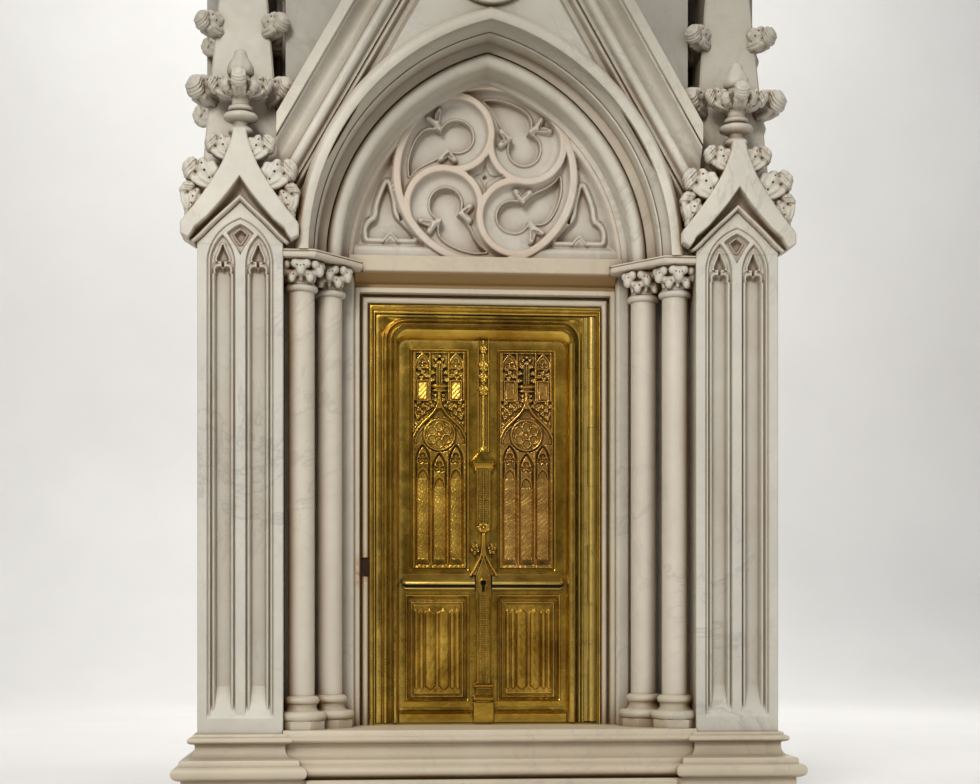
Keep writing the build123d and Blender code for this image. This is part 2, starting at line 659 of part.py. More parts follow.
# ---------------------------------------------------------------- cedar lining
BOARD = 10.0                # board thickness
BOARD_GAP = 0.4             # total play across a board
LINING_MID_Y = (WALL_BACK + CHAMBER_IN_BACK) / 2
LINING_MID_Z = (SILL_TOP + CHAMBER_TOP) / 2
LINING_DEPTH = CHAMBER_IN_BACK - WALL_BACK
LINING_HEIGHT = CHAMBER_TOP - SILL_TOP
LINING_WIDTH = 2 * (CHEEK_IN - BOARD) - BOARD_GAP

with BuildPart() as cedar_wall_boards:
    for side in (-1, 1):
        with Locations((side * (CHEEK_IN - BOARD / 2), LINING_MID_Y, LINING_MID_Z)):
            Box(BOARD, LINING_DEPTH, LINING_HEIGHT - BOARD_GAP)
    with Locations((0, CHAMBER_IN_BACK - BOARD / 2, LINING_MID_Z)):
        Box(LINING_WIDTH, BOARD, LINING_HEIGHT - 2 * BOARD - BOARD_GAP)
save(cedar_wall_boards.part, "cedar_wall_boards")

with BuildPart() as cedar_floor_top:
    for z in (SILL_TOP + BOARD / 2, CHAMBER_TOP - BOARD / 2):
        with Locations((0, LINING_MID_Y, z)):
            Box(LINING_WIDTH, LINING_DEPTH, BOARD)
save(cedar_floor_top.part, "cedar_floor_top")

# ---------------------------------------------------------------- brass border frame
FRAME_OUTER = corners(-OPEN_HALF, SILL_TOP, OPEN_HALF, OPEN_TOP)
FRAME_INNER = corners(-148, 98.2, 151, 647.5)
REBATE_INNER = corners(-136, 108, 128, 636)

with BuildPart() as door_border_frame:
    # the frame, then the rebate that the leaf shuts against
    for y, depth, outer, inner in ((-6, 46, FRAME_OUTER, FRAME_INNER),
                                   (16, 4, FRAME_INNER, REBATE_INNER)):
        with BuildSketch(front(y)):
            with BuildLine():
                Polyline(*outer, close=True)
            make_face()
            with BuildLine():
                Polyline(*inner, close=True)
            make_face(mode=Mode.SUBTRACT)
        extrude(amount=-depth)
    # slot for the lock bolt
    with Locations((-147, 21.5, BOLT_Z)):
        Box(26, 13, 20, mode=Mode.SUBTRACT)
save(door_border_frame.part, "door_border_frame")

# ---------------------------------------------------------------- door leaf
RIM_TAIL = 60               # the rim is drawn this far below the leaf, then cut off square
RIM_FOOT = LEAF_BOTTOM - RIM_TAIL
RIM_STEPS = (  # left, right, top, corner radius, y of the face
    (LEAF_LEFT, LEAF_RIGHT, LEAF_TOP, 1.0, -4.0),
    (-137, 129, 641, 27.0, -7.0),
    (-127, 124, 632, 20.0, -9.0),
)
RIM_INNER_TOP = 613

PANEL_BACK = 10.0           # bottom of the sunk fields
PANEL_GAP = 0.4             # panel is smaller than its field by this
TRACERY_OFFSET = 59         # panel centre from the ornament's centre line
TRACERY_WIDTH, TRACERY_HEIGHT = 72, 598.5 - 307
TRACERY_Z = (307 + 598.5) / 2
LINENFOLD_OFFSET = 62
LINENFOLD_WIDTH, LINENFOLD_HEIGHT = 78, 267 - 131.5
LINENFOLD_Z = (131.5 + 267) / 2

with BuildPart() as door_leaf:
    with BuildSketch(front(LEAF_FACE)):
        with BuildLine():
            Polyline(*corners(LEAF_LEFT, LEAF_BOTTOM, LEAF_RIGHT, LEAF_TOP), close=True)
        make_face()
    extrude(amount=LEAF_FACE - LEAF_BACK)
    # moulded rim round the head and the sides
    for left, right, top, radius, y in RIM_STEPS:
        with BuildSketch(front(y)):
            with Locations(((left + right) / 2, (top + RIM_FOOT) / 2)):
                RectangleRounded(right - left, top - RIM_FOOT, radius)
            with Locations((-3, (RIM_INNER_TOP + RIM_FOOT) / 2)):
                RectangleRounded(224, RIM_INNER_TOP - RIM_FOOT, 10, mode=Mode.SUBTRACT)
            with Locations((0, RIM_FOOT)):
                Rectangle(400, 2 * RIM_TAIL, mode=Mode.SUBTRACT)
        extrude(amount=y - LEAF_FACE)
    # sunk fields for the panels
    for side in (-1, 1):
        with BuildSketch(front(LEAF_FACE)):
            with Locations((DOOR_X + side * TRACERY_OFFSET, TRACERY_Z)):
                Rectangle(TRACERY_WIDTH, TRACERY_HEIGHT)
            with Locations((DOOR_X + side * LINENFOLD_OFFSET, LINENFOLD_Z)):
                Rectangle(LINENFOLD_WIDTH, LINENFOLD_HEIGHT)
        extrude(amount=LEAF_FACE - PANEL_BACK, mode=Mode.SUBTRACT)
    # bottom rail
    with BuildSketch(front(-4)):
        with BuildLine():
            Polyline(*corners(-115, LEAF_BOTTOM, 109, 112), close=True)
        make_face()
    extrude(amount=-4 - LEAF_FACE)
    # key passage
    with Locations((DOOR_X, 8, KEY_Z)):
        Cylinder(4.5, 20, rotation=(90, 0, 0), mode=Mode.SUBTRACT)
    with Locations((DOOR_X, 8, KEY_SLOT_Z)):
        Box(4, 20, 12, mode=Mode.SUBTRACT)
save(door_leaf.part, "door_leaf")

# ---------------------------------------------------------------- door panels
DOOR_MIDDLE = Plane.YZ.offset(DOOR_X)
TRACERY_X = DOOR_X + TRACERY_OFFSET
TRACERY_GROUND = 5          # y of the ground behind the openings
ROSE_Z = 486

with BuildPart() as tracery_panel_right:
    with BuildSketch(front(TRACERY_GROUND)):
        with Locations((TRACERY_X, TRACERY_Z)):
            Rectangle(TRACERY_WIDTH - PANEL_GAP, TRACERY_HEIGHT - PANEL_GAP)
    extrude(amount=TRACERY_GROUND - PANEL_BACK)
    # three tall lights, a round opening above them and two short lights at the top
    with BuildSketch(front(LEAF_FACE)):
        with Locations((TRACERY_X, TRACERY_Z)):
            Rectangle(TRACERY_WIDTH - PANEL_GAP, TRACERY_HEIGHT - PANEL_GAP)
        for k in (-1, 0, 1):
            with Locations((TRACERY_X + 22.5 * k, 395)):
                SlotOverall(160, 16, rotation=90, mode=Mode.SUBTRACT)
        with Locations((TRACERY_X, ROSE_Z)):
            Circle(19, mode=Mode.SUBTRACT)
        for k in (-1, 1):
            with Locations((TRACERY_X + 24 * k, 552)):
                SlotOverall(60, 15, rotation=90, mode=Mode.SUBTRACT)
    extrude(amount=LEAF_FACE - TRACERY_GROUND)
    # six studs in the round opening
    with BuildSketch(front(LEAF_FACE)):
        with Locations((TRACERY_X, ROSE_Z)):
            with PolarLocations(11, 6):
                Circle(3.4)
    extrude(amount=LEAF_FACE - TRACERY_GROUND)
save_pair(tracery_panel_right.part, "tracery_panel", DOOR_MIDDLE)

FOLD_X = DOOR_X + 60        # middle of the raised plate and its folds
FOLD_PITCH = 9.6

with BuildPart() as linenfold_panel_right:
    with BuildSketch(front(6)):
        with Locations((DOOR_X + LINENFOLD_OFFSET, LINENFOLD_Z)):
            Rectangle(LINENFOLD_WIDTH - PANEL_GAP, LINENFOLD_HEIGHT - PANEL_GAP)
    extrude(amount=6 - PANEL_BACK)
    with BuildSketch(front(3)):
        with Locations((FOLD_X, 197)):
            Rectangle(61, 120)
    extrude(amount=-3)
    # five upright folds
    with BuildSketch(Plane.XY.offset(148)):
        for k in range(5):
            with Locations((FOLD_X + (k - 2) * FOLD_PITCH, 3)):
                Ellipse(3.6, 3)
    extrude(amount=98)
save_pair(linenfold_panel_right.part, "linenfold_panel", DOOR_MIDDLE)

# ---------------------------------------------------------------- central astragal
CAP_STATIONS = (  # z, y of the middle, width, depth
    (438, -4.5, 30, 13),
    (452, -5, 36, 14),
    (463.5, -3, 16, 10),
)
LOWER_STRIPS = (  # y of the face, z of the middle, width, height
    (-4, 402, 21, 74),      # behind the shaft
    (-7, 208, 19, 114),     # lower strip
    (-10, 125, 28.6, 52),   # base
)

with BuildPart() as astragal:
    # upper strip with its row of bosses
    with BuildSketch(front(-8)):
        with Locations((DOOR_X, 537.5)):
            Rectangle(16.4, 149)
    extrude(amount=-8 - LEAF_FACE)
    for z in (480, 510, 540, 570, 596):
        with Locations((DOOR_X, -8, z)):
            Cylinder(5.5, 6, rotation=(90, 0, 0))
    # cap, lofted from station to station
    for lower, upper in zip(CAP_STATIONS, CAP_STATIONS[1:]):
        for z, y, width, depth in (lower, upper):
            with BuildSketch(Plane.XY.offset(z)):
                with Locations((DOOR_X, y)):
                    Rectangle(width, depth)
        loft()
    # shaft of three rounds under the cap
    for offset in (-6.5, 0, 6.5):
        with BuildSketch(Plane.XY.offset(366)):
            with Locations((DOOR_X + offset, -4)):
                Circle(4)
        extrude(amount=74)
    for y, z, width, height in LOWER_STRIPS:
        with BuildSketch(front(y)):
            with Locations((DOOR_X, z)):
                Rectangle(width, height)
        extrude(amount=y - LEAF_FACE)
    add(door_leaf.part, mode=Mode.SUBTRACT)
save(astragal.part, "astragal")

# ---------------------------------------------------------------- keyhole hood and ledges
with BuildPart() as keyhole_hood:
    # pointed plate pierced by the keyhole
    with BuildSketch(front(-8)):
        with BuildLine():
            Polyline((DOOR_X - 16.5, 265), (DOOR_X + 16.5, 265), (DOOR_X + 16.5, 300),
                     (DOOR_X + 6, 325), (DOOR_X, 358), (DOOR_X - 6, 325),
                     (DOOR_X - 16.5, 300), close=True)
        make_face()
        with Locations((DOOR_X, KEY_Z)):
            Circle(4, mode=Mode.SUBTRACT)
        with Locations((DOOR_X, KEY_SLOT_Z)):
            Rectangle(3.6, 11.4, mode=Mode.SUBTRACT)
    extrude(amount=-8 - LEAF_FACE)
    # flowers at the tip and on both slopes, as plain discs
    with Locations((DOOR_X, -5, 357)):
        Cylinder(9.4, 12, rotation=(90, 0, 0))
    for offset in (-11, 11):
        with Locations((DOOR_X + offset, -4, 330)):
            Cylinder(7.5, 10, rotation=(90, 0, 0))
    add(astragal.part, mode=Mode.SUBTRACT)
save(keyhole_hood.part, "keyhole_hood")

LEDGE_OFFSET, LEDGE_LENGTH = 60.25, 101

# sloped ledges between the upper and lower panels
with BuildPart() as drip_ledges:
    for side in (-1, 1):
        with BuildSketch(Plane.YZ.offset(DOOR_X + side * LEDGE_OFFSET - LEDGE_LENGTH / 2)):
            with BuildLine():
                Polyline((LEAF_FACE, 299), (LEAF_FACE, 280), (-1, 280), (-4, 283), (-4, 286),
                         (0, 296), close=True)
            make_face()
        extrude(amount=LEDGE_LENGTH)
    add(keyhole_hood.part, mode=Mode.SUBTRACT)
    add(astragal.part, mode=Mode.SUBTRACT)
save(drip_ledges.part, "drip_ledges")

# ---------------------------------------------------------------- continuous hinge
HINGE_AXIS = (144.8, -4.0)  # x, y
KNUCKLE_RADIUS = 5.7
PIN_RADIUS = 2.2
KNUCKLES = (100.0, 181.4, 258.4, 338.0, 417.7, 497.3, 577.0, 646.0)  # z of the joints
KNUCKLE_GAP = 0.5
HINGE_LENGTH = KNUCKLES[-1] - KNUCKLES[0]
LAST_KNUCKLE = len(KNUCKLES) - 2


def hinge_leaf(plate, knuckles, web_centre, web_size, bore):
    """Hinge plate with the numbered knuckles, each joined by a web, bored for the pin."""
    with BuildPart() as leaf:
        with BuildSketch(Plane.XY.offset(KNUCKLES[0])):
            with BuildLine():
                Polyline(*plate, close=True)
            make_face()
        extrude(amount=HINGE_LENGTH)
        for i in knuckles:
            # the outer ends of the hinge have no gap
            bottom = KNUCKLES[i] + (KNUCKLE_GAP / 2 if i > 0 else 0)
            top = KNUCKLES[i + 1] - (KNUCKLE_GAP / 2 if i < LAST_KNUCKLE else 0)
            with BuildSketch(Plane.XY.offset(bottom)):
                with Locations(HINGE_AXIS):
                    Circle(KNUCKLE_RADIUS)
                with Locations(web_centre):
                    Rectangle(*web_size)
            extrude(amount=top - bottom)
        with BuildSketch(Plane.XY.offset(KNUCKLES[0])):
            with Locations(HINGE_AXIS):
                Circle(bore)
        extrude(amount=HINGE_LENGTH, mode=Mode.SUBTRACT)
    return leaf.part


moving_plate = ((LEAF_RIGHT, -5.5), (138.6, -5.5), (138.6, -2.5), (136.6, -2.5),
                (136.6, 13.5), (LEAF_RIGHT, 13.5))
save(hinge_leaf(moving_plate, (1, 3, 5), web_centre=(140.5, HINGE_AXIS[1]), web_size=(5, 3),
                bore=PIN_RADIUS + 0.05), "hinge_moving_leaf")
save(hinge_leaf(corners(148.5, 2.3, 151, 15.5), (0, 2, 4, 6), web_centre=(149.5, -0.5),
                web_size=(3, 7), bore=PIN_RADIUS), "hinge_fixed_leaf")

with BuildPart() as hinge_pin:
    with BuildSketch(Plane.XY.offset(KNUCKLES[0] - 0.5)):
        with Locations(HINGE_AXIS):
            Circle(PIN_RADIUS)
    extrude(amount=HINGE_LENGTH + 1)
save(hinge_pin.part, "hinge_pin")

# ---------------------------------------------------------------- lock behind the leaf
LOCK_X, LOCK_Z = DOOR_X + 2, 300
LOCK_WIDTH, LOCK_HEIGHT = 76, 78
LEVER_PIVOT = (DOOR_X + 28, 322)    # x, z
STUD_RADIUS = 2.5

with BuildPart() as lock_case:
    with Locations((LOCK_X, 23, LOCK_Z)):
        Box(LOCK_WIDTH, 18, LOCK_HEIGHT)
    with Locations((LOCK_X, 24.5, LOCK_Z)):
        Box(LOCK_WIDTH - 4, 16, LOCK_HEIGHT - 4, mode=Mode.SUBTRACT)
    # bolt passage and key passage
    with Locations((DOOR_X - 36, BOLT_MID_Y, BOLT_Z)):
        Box(10, *PASSAGE, mode=Mode.SUBTRACT)
    with Locations((DOOR_X, 16, 283)):
        Box(9, 10, 18, mode=Mode.SUBTRACT)
    # stud that the tumbler lever turns on
    with BuildSketch(front(16.0)):
        with Locations(LEVER_PIVOT):
            Circle(STUD_RADIUS)
    extrude(amount=-15.5)
save(lock_case.part, "lock_case")

with BuildPart() as lock_cover:
    with Locations((LOCK_X, 33, LOCK_Z)):
        Box(LOCK_WIDTH, 2, LOCK_HEIGHT)
    fillet(lock_cover.edges().filter_by(Axis.Y), 3)
    # screw heads at the corners
    for offset_x in (-33, 33):
        for offset_z in (-34, 34):
            with Locations((LOCK_X + offset_x, 34, LOCK_Z + offset_z)):
                Cylinder(2.4, 2.4, rotation=(90, 0, 0))
save(lock_cover.part, "lock_cover")

BOLT_FOOT, BOLT_HEAD = BOLT_Z - BOLT_HEIGHT / 2, BOLT_Z + BOLT_HEIGHT / 2

with BuildPart() as lock_bolt:
    # bar with a notch in its lower edge
    with BuildSketch(front(BOLT_FRONT)):
        with BuildLine():
            Polyline((BOLT_TIP, BOLT_FOOT), (BOLT_TIP, BOLT_HEAD), (DOOR_X + 18, BOLT_HEAD),
                     (DOOR_X + 18, BOLT_FOOT), (DOOR_X + 9, BOLT_FOOT), (DOOR_X + 6, BOLT_Z - 2),
                     (DOOR_X - 2, BOLT_Z - 2), (DOOR_X - 5, BOLT_FOOT), close=True)
        make_face()
    extrude(amount=BOLT_FRONT - BOLT_BACK)
    fillet(lock_bolt.edges().filter_by(Axis.Y).group_by(Axis.X)[0], 1.2)
save(lock_bolt.part, "lock_bolt")

# bracket that guides the bolt near the free edge of the leaf
with BuildPart() as bolt_guide:
    with Locations((-122, BOLT_MID_Y, BOLT_Z)):
        Box(14, 14, 34)
    with Locations((-122, BOLT_MID_Y, BOLT_Z)):
        Box(20, *PASSAGE, mode=Mode.SUBTRACT)
    chamfer(bolt_guide.faces().sort_by(Axis.Y)[-1].edges().filter_by(Axis.X), 3)
save(bolt_guide.part, "bolt_guide")

with BuildPart() as lock_lever:
    with BuildSketch(front(25.5)):
        with BuildLine():
            Polyline((DOOR_X + 32, 326), (DOOR_X + 34, 318), (DOOR_X + 8, 300),
                     (DOOR_X - 22, 297), (DOOR_X - 24, 306), (DOOR_X + 4, 314), close=True)
        make_face()
        with Locations(LEVER_PIVOT):
            Circle(5)
            Circle(STUD_RADIUS + 0.05, mode=Mode.SUBTRACT)
    extrude(amount=-3)
save(lock_lever.part, "lock_lever")

# ---------------------------------------------------------------- hinge screws
SCREW_Z = (125.0, 215.0, 300.0, 380.0, 460.0, 540.0, 620.0)


def save_hinge_screws(name, x, y, length):
    """A column of screw heads lying along x, as plain discs."""
    with BuildPart() as screws:
        for z in SCREW_Z:
            with Locations((x, y, z)):
                Cylinder(2.8, length, rotation=(0, 90, 0))
    save(screws.part, name)


save_hinge_screws("hinge_screws_frame", x=147.4, y=9.5, length=2.2)
save_hinge_screws("hinge_screws_door", x=137.3, y=7.5, length=1.4)
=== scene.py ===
import bpy
import json
import math
import numpy as np
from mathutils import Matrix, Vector


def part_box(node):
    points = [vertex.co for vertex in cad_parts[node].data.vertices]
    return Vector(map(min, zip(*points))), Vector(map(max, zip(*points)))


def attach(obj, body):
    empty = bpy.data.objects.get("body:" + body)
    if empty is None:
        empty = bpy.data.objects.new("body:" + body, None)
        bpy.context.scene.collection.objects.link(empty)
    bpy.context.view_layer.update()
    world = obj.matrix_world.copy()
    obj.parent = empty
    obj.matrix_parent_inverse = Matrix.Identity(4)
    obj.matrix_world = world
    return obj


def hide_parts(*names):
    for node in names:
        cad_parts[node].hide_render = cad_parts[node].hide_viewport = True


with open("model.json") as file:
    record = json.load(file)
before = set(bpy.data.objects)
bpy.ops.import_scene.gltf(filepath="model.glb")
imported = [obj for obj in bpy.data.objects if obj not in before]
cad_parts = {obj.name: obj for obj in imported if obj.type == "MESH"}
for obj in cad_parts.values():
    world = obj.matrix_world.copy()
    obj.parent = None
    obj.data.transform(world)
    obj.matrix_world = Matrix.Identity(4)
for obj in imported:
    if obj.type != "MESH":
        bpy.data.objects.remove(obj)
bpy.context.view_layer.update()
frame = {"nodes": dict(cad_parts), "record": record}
MM = 0.001
BODY = {n: b for b, ns in frame["record"]["behaviour"]["bodies"].items() for n in ns}


def bx(node):
    lo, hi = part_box(node)
    return [v / MM for v in lo], [v / MM for v in hi]


# ------------------------------------------------------------------ materials
class NT:
    def __init__(self, name):
        self.m = bpy.data.materials.new(name)
        self.m.use_nodes = True
        self.t = self.m.node_tree
        self.b = self.t.nodes["Principled BSDF"]
        tc = self.t.nodes.new("ShaderNodeTexCoord")
        self.co = tc.outputs["Object"]

    def n(self, kind, **kw):
        nd = self.t.nodes.new("ShaderNode" + kind)
        for k, v in kw.items():
            setattr(nd, k, v)
        return nd

    def link(self, a, b):
        self.t.links.new(a, b)

    def put(self, sock, v):
        if hasattr(v, "is_output"):
            self.link(v, sock)
        else:
            sock.default_value = v

    def noise(self, scale, detail=4.0, rough=0.55, dist=0.0, co=None):
        nd = self.n("TexNoise")
        self.link(co or self.co, nd.inputs["Vector"])
        nd.inputs["Scale"].default_value = scale
        nd.inputs["Detail"].default_value = detail
        nd.inputs["Roughness"].default_value = rough
        nd.inputs["Distortion"].default_value = dist
        return nd.outputs["Fac"]

    def ramp(self, fac, stops, interp="LINEAR"):
        nd = self.n("ValToRGB")
        nd.color_ramp.interpolation = interp
        el = nd.color_ramp.elements
        while len(el) < len(stops):
            el.new(0.5)
        for e, (p, c) in zip(el, stops):
            e.position = p
            e.color = c if len(c) == 4 else (*c, 1)
        self.link(fac, nd.inputs[0])
        return nd.outputs[0]

    def mix(self, fac, a, b, mode="MIX"):
        nd = self.n("Mix", data_type="RGBA", blend_type=mode)
        self.put(nd.inputs[0], fac)
        self.put(nd.inputs[6], a)
        self.put(nd.inputs[7], b)
        return nd.outputs[2]

    def math(self, op, a, b=0.0, c=0.0, clamp=False):
        nd = self.n("Math", operation=op, use_clamp=clamp)
        self.put(nd.inputs[0], a)
        self.put(nd.inputs[1], b)
        self.put(nd.inputs[2], c)
        return nd.outputs[0]

    def rng(self, v, a, b, c=0.0, d=1.0):
        nd = self.n("MapRange")
        nd.clamp = True
        self.put(nd.inputs[0], v)
        for i, x in enumerate((a, b, c, d)):
            nd.inputs[i + 1].default_value = x
        return nd.outputs[0]

    def ao(self, dist, samples=6):
        nd = self.n("AmbientOcclusion", samples=samples)
        nd.inputs["Distance"].default_value = dist
        return nd.outputs["AO"]

    def bump(self, h, strength, dist):
        nd = self.n("Bump")
        nd.inputs["Strength"].default_value = strength
        nd.inputs["Distance"].default_value = dist
        self.link(h, nd.inputs["Height"])
        self.link(nd.outputs[0], self.b.inputs["Normal"])


def rgb(r, g, b):
    f = lambda c: ((c / 255 + 0.055) / 1.055) ** 2.4 if c > 10 else c / 255 / 12.92
    return (f(r), f(g), f(b), 1)


def marble(name, light, dark, stain_and_shade, stain_and_shade_amt=0.55, vein_amt=0.45, rough=0.42, warm=None, spot=None, under=None):
    k = NT(name)
    cloud = k.noise(5.5, 5, 0.6, 0.4)
    base = k.mix(k.rng(cloud, 0.35, 0.68), light, dark)
    mottle = k.noise(60, 3, 0.6)
    base = k.mix(k.rng(mottle, 0.3, 0.8, 0, 0.35), base, rgb(186, 182, 170))
    # thin grey veins: where a warped noise crosses its middle value
    v1 = k.noise(4.2, 7, 0.62, 1.6)
    d1 = k.math("ABSOLUTE", k.math("SUBTRACT", v1, 0.5))
    vein = k.rng(d1, 0.0, 0.022, 1, 0)
    gate = k.rng(k.noise(3.0, 2, 0.5), 0.46, 0.62)
    v2 = k.noise(11.0, 6, 0.6, 1.1)
    d2 = k.math("ABSOLUTE", k.math("SUBTRACT", v2, 0.47))
    vein2 = k.math("MULTIPLY", k.rng(d2, 0.0, 0.012, 1, 0), k.rng(k.noise(6.0, 2, 0.5), 0.5, 0.62))
    vt = k.math("MAXIMUM", k.math("MULTIPLY", vein, gate), k.math("MULTIPLY", vein2, 0.7))
    base = k.mix(k.math("MULTIPLY", vt, vein_amt), base, rgb(128, 128, 126))
    # tan staining gathers in hollows and along drip lines; this hollow mask also paints shade into the recesses
    ao = k.ao(0.022, 5)
    hollow = k.rng(ao, 0.35, 0.9, 1, 0)
    patch = k.rng(k.noise(9.0, 4, 0.6, 0.5), 0.36, 0.66)
    base = k.mix(k.math("MULTIPLY", k.math("MULTIPLY", hollow, k.math("ADD", k.math("MULTIPLY", patch, 0.8), 0.2)), stain_and_shade_amt), base, stain_and_shade)
    fine = k.rng(k.noise(38.0, 6, 0.7), 0.56, 0.72)
    base = k.mix(k.math("MULTIPLY", k.math("MULTIPLY", fine, patch), 0.22), base, stain_and_shade)
    geo = k.n("NewGeometry")
    edge = k.rng(geo.outputs["Pointiness"], 0.53, 0.60)
    base = k.mix(k.math("MULTIPLY", edge, 0.28), base, rgb(214, 194, 164))
    # painted shade: the deeper recesses are darkened towards a dark brown
    deep = k.rng(k.ao(0.045, 5), 0.18, 0.72, 1, 0)
    base = k.mix(k.math("MULTIPLY", deep, 0.84), base, rgb(98, 71, 32))
    pos = k.n("SeparateXYZ")
    k.link(geo.outputs["Position"], pos.inputs[0])
    # painted shade: the gable and the spires are darkened grey towards the top
    base = k.mix(k.rng(pos.outputs[2], 0.84, 1.02, 0, 0.42), base, rgb(112, 104, 88))
    if under:
        # painted shade: the soffit below this height is painted browner than the face above it
        base = k.mix(k.rng(pos.outputs[2], under[0] - 0.003, under[0] + 0.001, 0.9, 0), base, under[1])
    if warm:
        front = k.rng(pos.outputs[1], warm[0], warm[1], 1, 0)
        base = k.mix(k.math("MULTIPLY", front, k.rng(cloud, 0.3, 0.7, 0.25, 0.75)), base, rgb(206, 182, 158))
    if spot:
        dist = k.n("VectorMath")
        dist.operation = "DISTANCE"
        k.link(geo.outputs["Position"], dist.inputs[0])
        dist.inputs[1].default_value = spot
        near_ = k.math("MULTIPLY", k.rng(dist.outputs["Value"], 0.008, 0.030, 1, 0), k.rng(k.noise(70, 5, 0.65, 0.6), 0.34, 0.60))
        base = k.mix(k.math("MULTIPLY", near_, 0.85), base, rgb(150, 92, 36))
    k.link(base, k.b.inputs["Base Color"])
    k.link(k.rng(k.noise(90, 3, 0.6), 0.2, 0.8, rough - 0.07, rough + 0.14), k.b.inputs["Roughness"])
    k.b.inputs["Specular IOR Level"].default_value = 0.42
    k.b.inputs["Subsurface Weight"].default_value = 0.0
    h = k.math("ADD", k.math("MULTIPLY", k.noise(260, 4, 0.6), 0.4), k.noise(34, 3, 0.5))
    k.bump(h, 0.28, 0.0006)
    return k.m


def brass(name, light, mid, dark, dirt=0.85, rough=0.24, aod=0.009, rosy=False):
    k = NT(name)
    big = k.noise(14, 4, 0.6, 0.6)
    col = k.mix(k.rng(big, 0.3, 0.72), light, mid)
    if rosy:
        # the right-hand upper panel has gone redder than the left
        xyz = k.n("SeparateXYZ")
        k.link(k.co, xyz.inputs[0])
        side = k.math("MULTIPLY", k.rng(xyz.outputs[0], 0.010, 0.030), k.rng(xyz.outputs[2], 0.285, 0.310))
        col = k.mix(k.math("MULTIPLY", side, k.rng(big, 0.3, 0.7, 0.6, 0.2)), col, rgb(178, 130, 84))
    blot = k.rng(k.noise(55, 5, 0.62, 0.8), 0.52, 0.74)
    col = k.mix(k.math("MULTIPLY", blot, 0.5), col, mid)
    ao = k.ao(aod, 6)
    hollow = k.rng(ao, 0.28, 0.92, 1, 0)
    grime = k.math("MULTIPLY", hollow, k.rng(k.noise(70, 4, 0.6), 0.25, 0.6, 0.55, 1.0))
    grime = k.math("MULTIPLY", grime, dirt)
    col = k.mix(grime, col, dark)
    speck = k.rng(k.noise(420, 3, 0.55), 0.66, 0.74)
    col = k.mix(k.math("MULTIPLY", speck, 0.55), col, rgb(74, 62, 30))
    verd = k.math("MULTIPLY", k.rng(k.noise(30, 3, 0.5), 0.62, 0.74), hollow)
    col = k.mix(k.math("MULTIPLY", verd, 0.30), col, rgb(92, 112, 72))
    geo = k.n("NewGeometry")
    # painted highlight: sharp edges are lightened to bright gold
    edge = k.rng(geo.outputs["Pointiness"], 0.52, 0.60)
    col = k.mix(k.math("MULTIPLY", edge, 0.45), col, rgb(244, 214, 122))
    k.link(col, k.b.inputs["Base Color"])
    k.link(k.math("SUBTRACT", 1.0, k.math("MULTIPLY", grime, 0.55)), k.b.inputs["Metallic"])
    r = k.math("ADD", k.rng(k.noise(46, 5, 0.65), 0.25, 0.8, rough - 0.06, rough + 0.2), k.math("MULTIPLY", grime, 0.32))
    k.link(r, k.b.inputs["Roughness"])
    h = k.math("ADD", k.math("MULTIPLY", k.noise(330, 4, 0.6), 0.35), k.noise(60, 4, 0.55))
    k.bump(h, 0.30, 0.0007)
    return k.m


def metal(name, a, b, rough, rust=0.0, metallic=1.0):
    k = NT(name)
    col = k.mix(k.rng(k.noise(40, 5, 0.6, 0.4), 0.3, 0.7), a, b)
    ao = k.rng(k.ao(0.008, 4), 0.3, 0.95, 1, 0)
    rz = k.rng(k.noise(22, 6, 0.7, 0.7), 0.62 - 0.3 * rust, 0.80 - 0.3 * rust)
    rz = k.math("MAXIMUM", k.math("MULTIPLY", rz, rust), k.math("MULTIPLY", ao, 0.5 * rust))
    col = k.mix(rz, col, rgb(128, 66, 28))
    col = k.mix(k.math("MULTIPLY", ao, 0.5), col, rgb(24, 20, 16))
    k.link(col, k.b.inputs["Base Color"])
    k.link(k.math("MULTIPLY", k.math("SUBTRACT", 1.0, rz), metallic), k.b.inputs["Metallic"])
    k.link(k.math("ADD", k.rng(k.noise(120, 3, 0.6), 0.2, 0.8, rough - 0.08, rough + 0.1), k.math("MULTIPLY", rz, 0.4)), k.b.inputs["Roughness"])
    mp = k.n("Mapping")
    mp.inputs["Scale"].default_value = (30, 900, 900)
    k.link(k.co, mp.inputs["Vector"])
    k.bump(k.math("ADD", k.noise(1.0, 2, 0.5, 0, mp.outputs[0]), k.math("MULTIPLY", k.noise(160, 4, 0.6), rust + 0.2)), 0.22, 0.0005)
    return k.m


def cedar(name):
    k = NT(name)
    mp = k.n("Mapping")
    mp.inputs["Scale"].default_value = (26, 26, 2.2)
    k.link(k.co, mp.inputs["Vector"])
    g = k.noise(3.2, 6, 0.62, 0.9, mp.outputs[0])
    rings = k.math("ABSOLUTE", k.math("SINE", k.math("MULTIPLY", g, 34.0)))
    col = k.ramp(rings, [(0.0, rgb(96, 56, 32)), (0.45, rgb(142, 88, 52)), (1.0, rgb(170, 112, 70))])
    pore = k.rng(k.noise(60, 3, 0.6, 0, mp.outputs[0]), 0.6, 0.75)
    col = k.mix(k.math("MULTIPLY", pore, 0.5), col, rgb(70, 38, 22))
    k.link(col, k.b.inputs["Base Color"])
    k.link(k.rng(rings, 0, 1, 0.62, 0.46), k.b.inputs["Roughness"])
    k.bump(rings, 0.15, 0.0006)
    return k.m


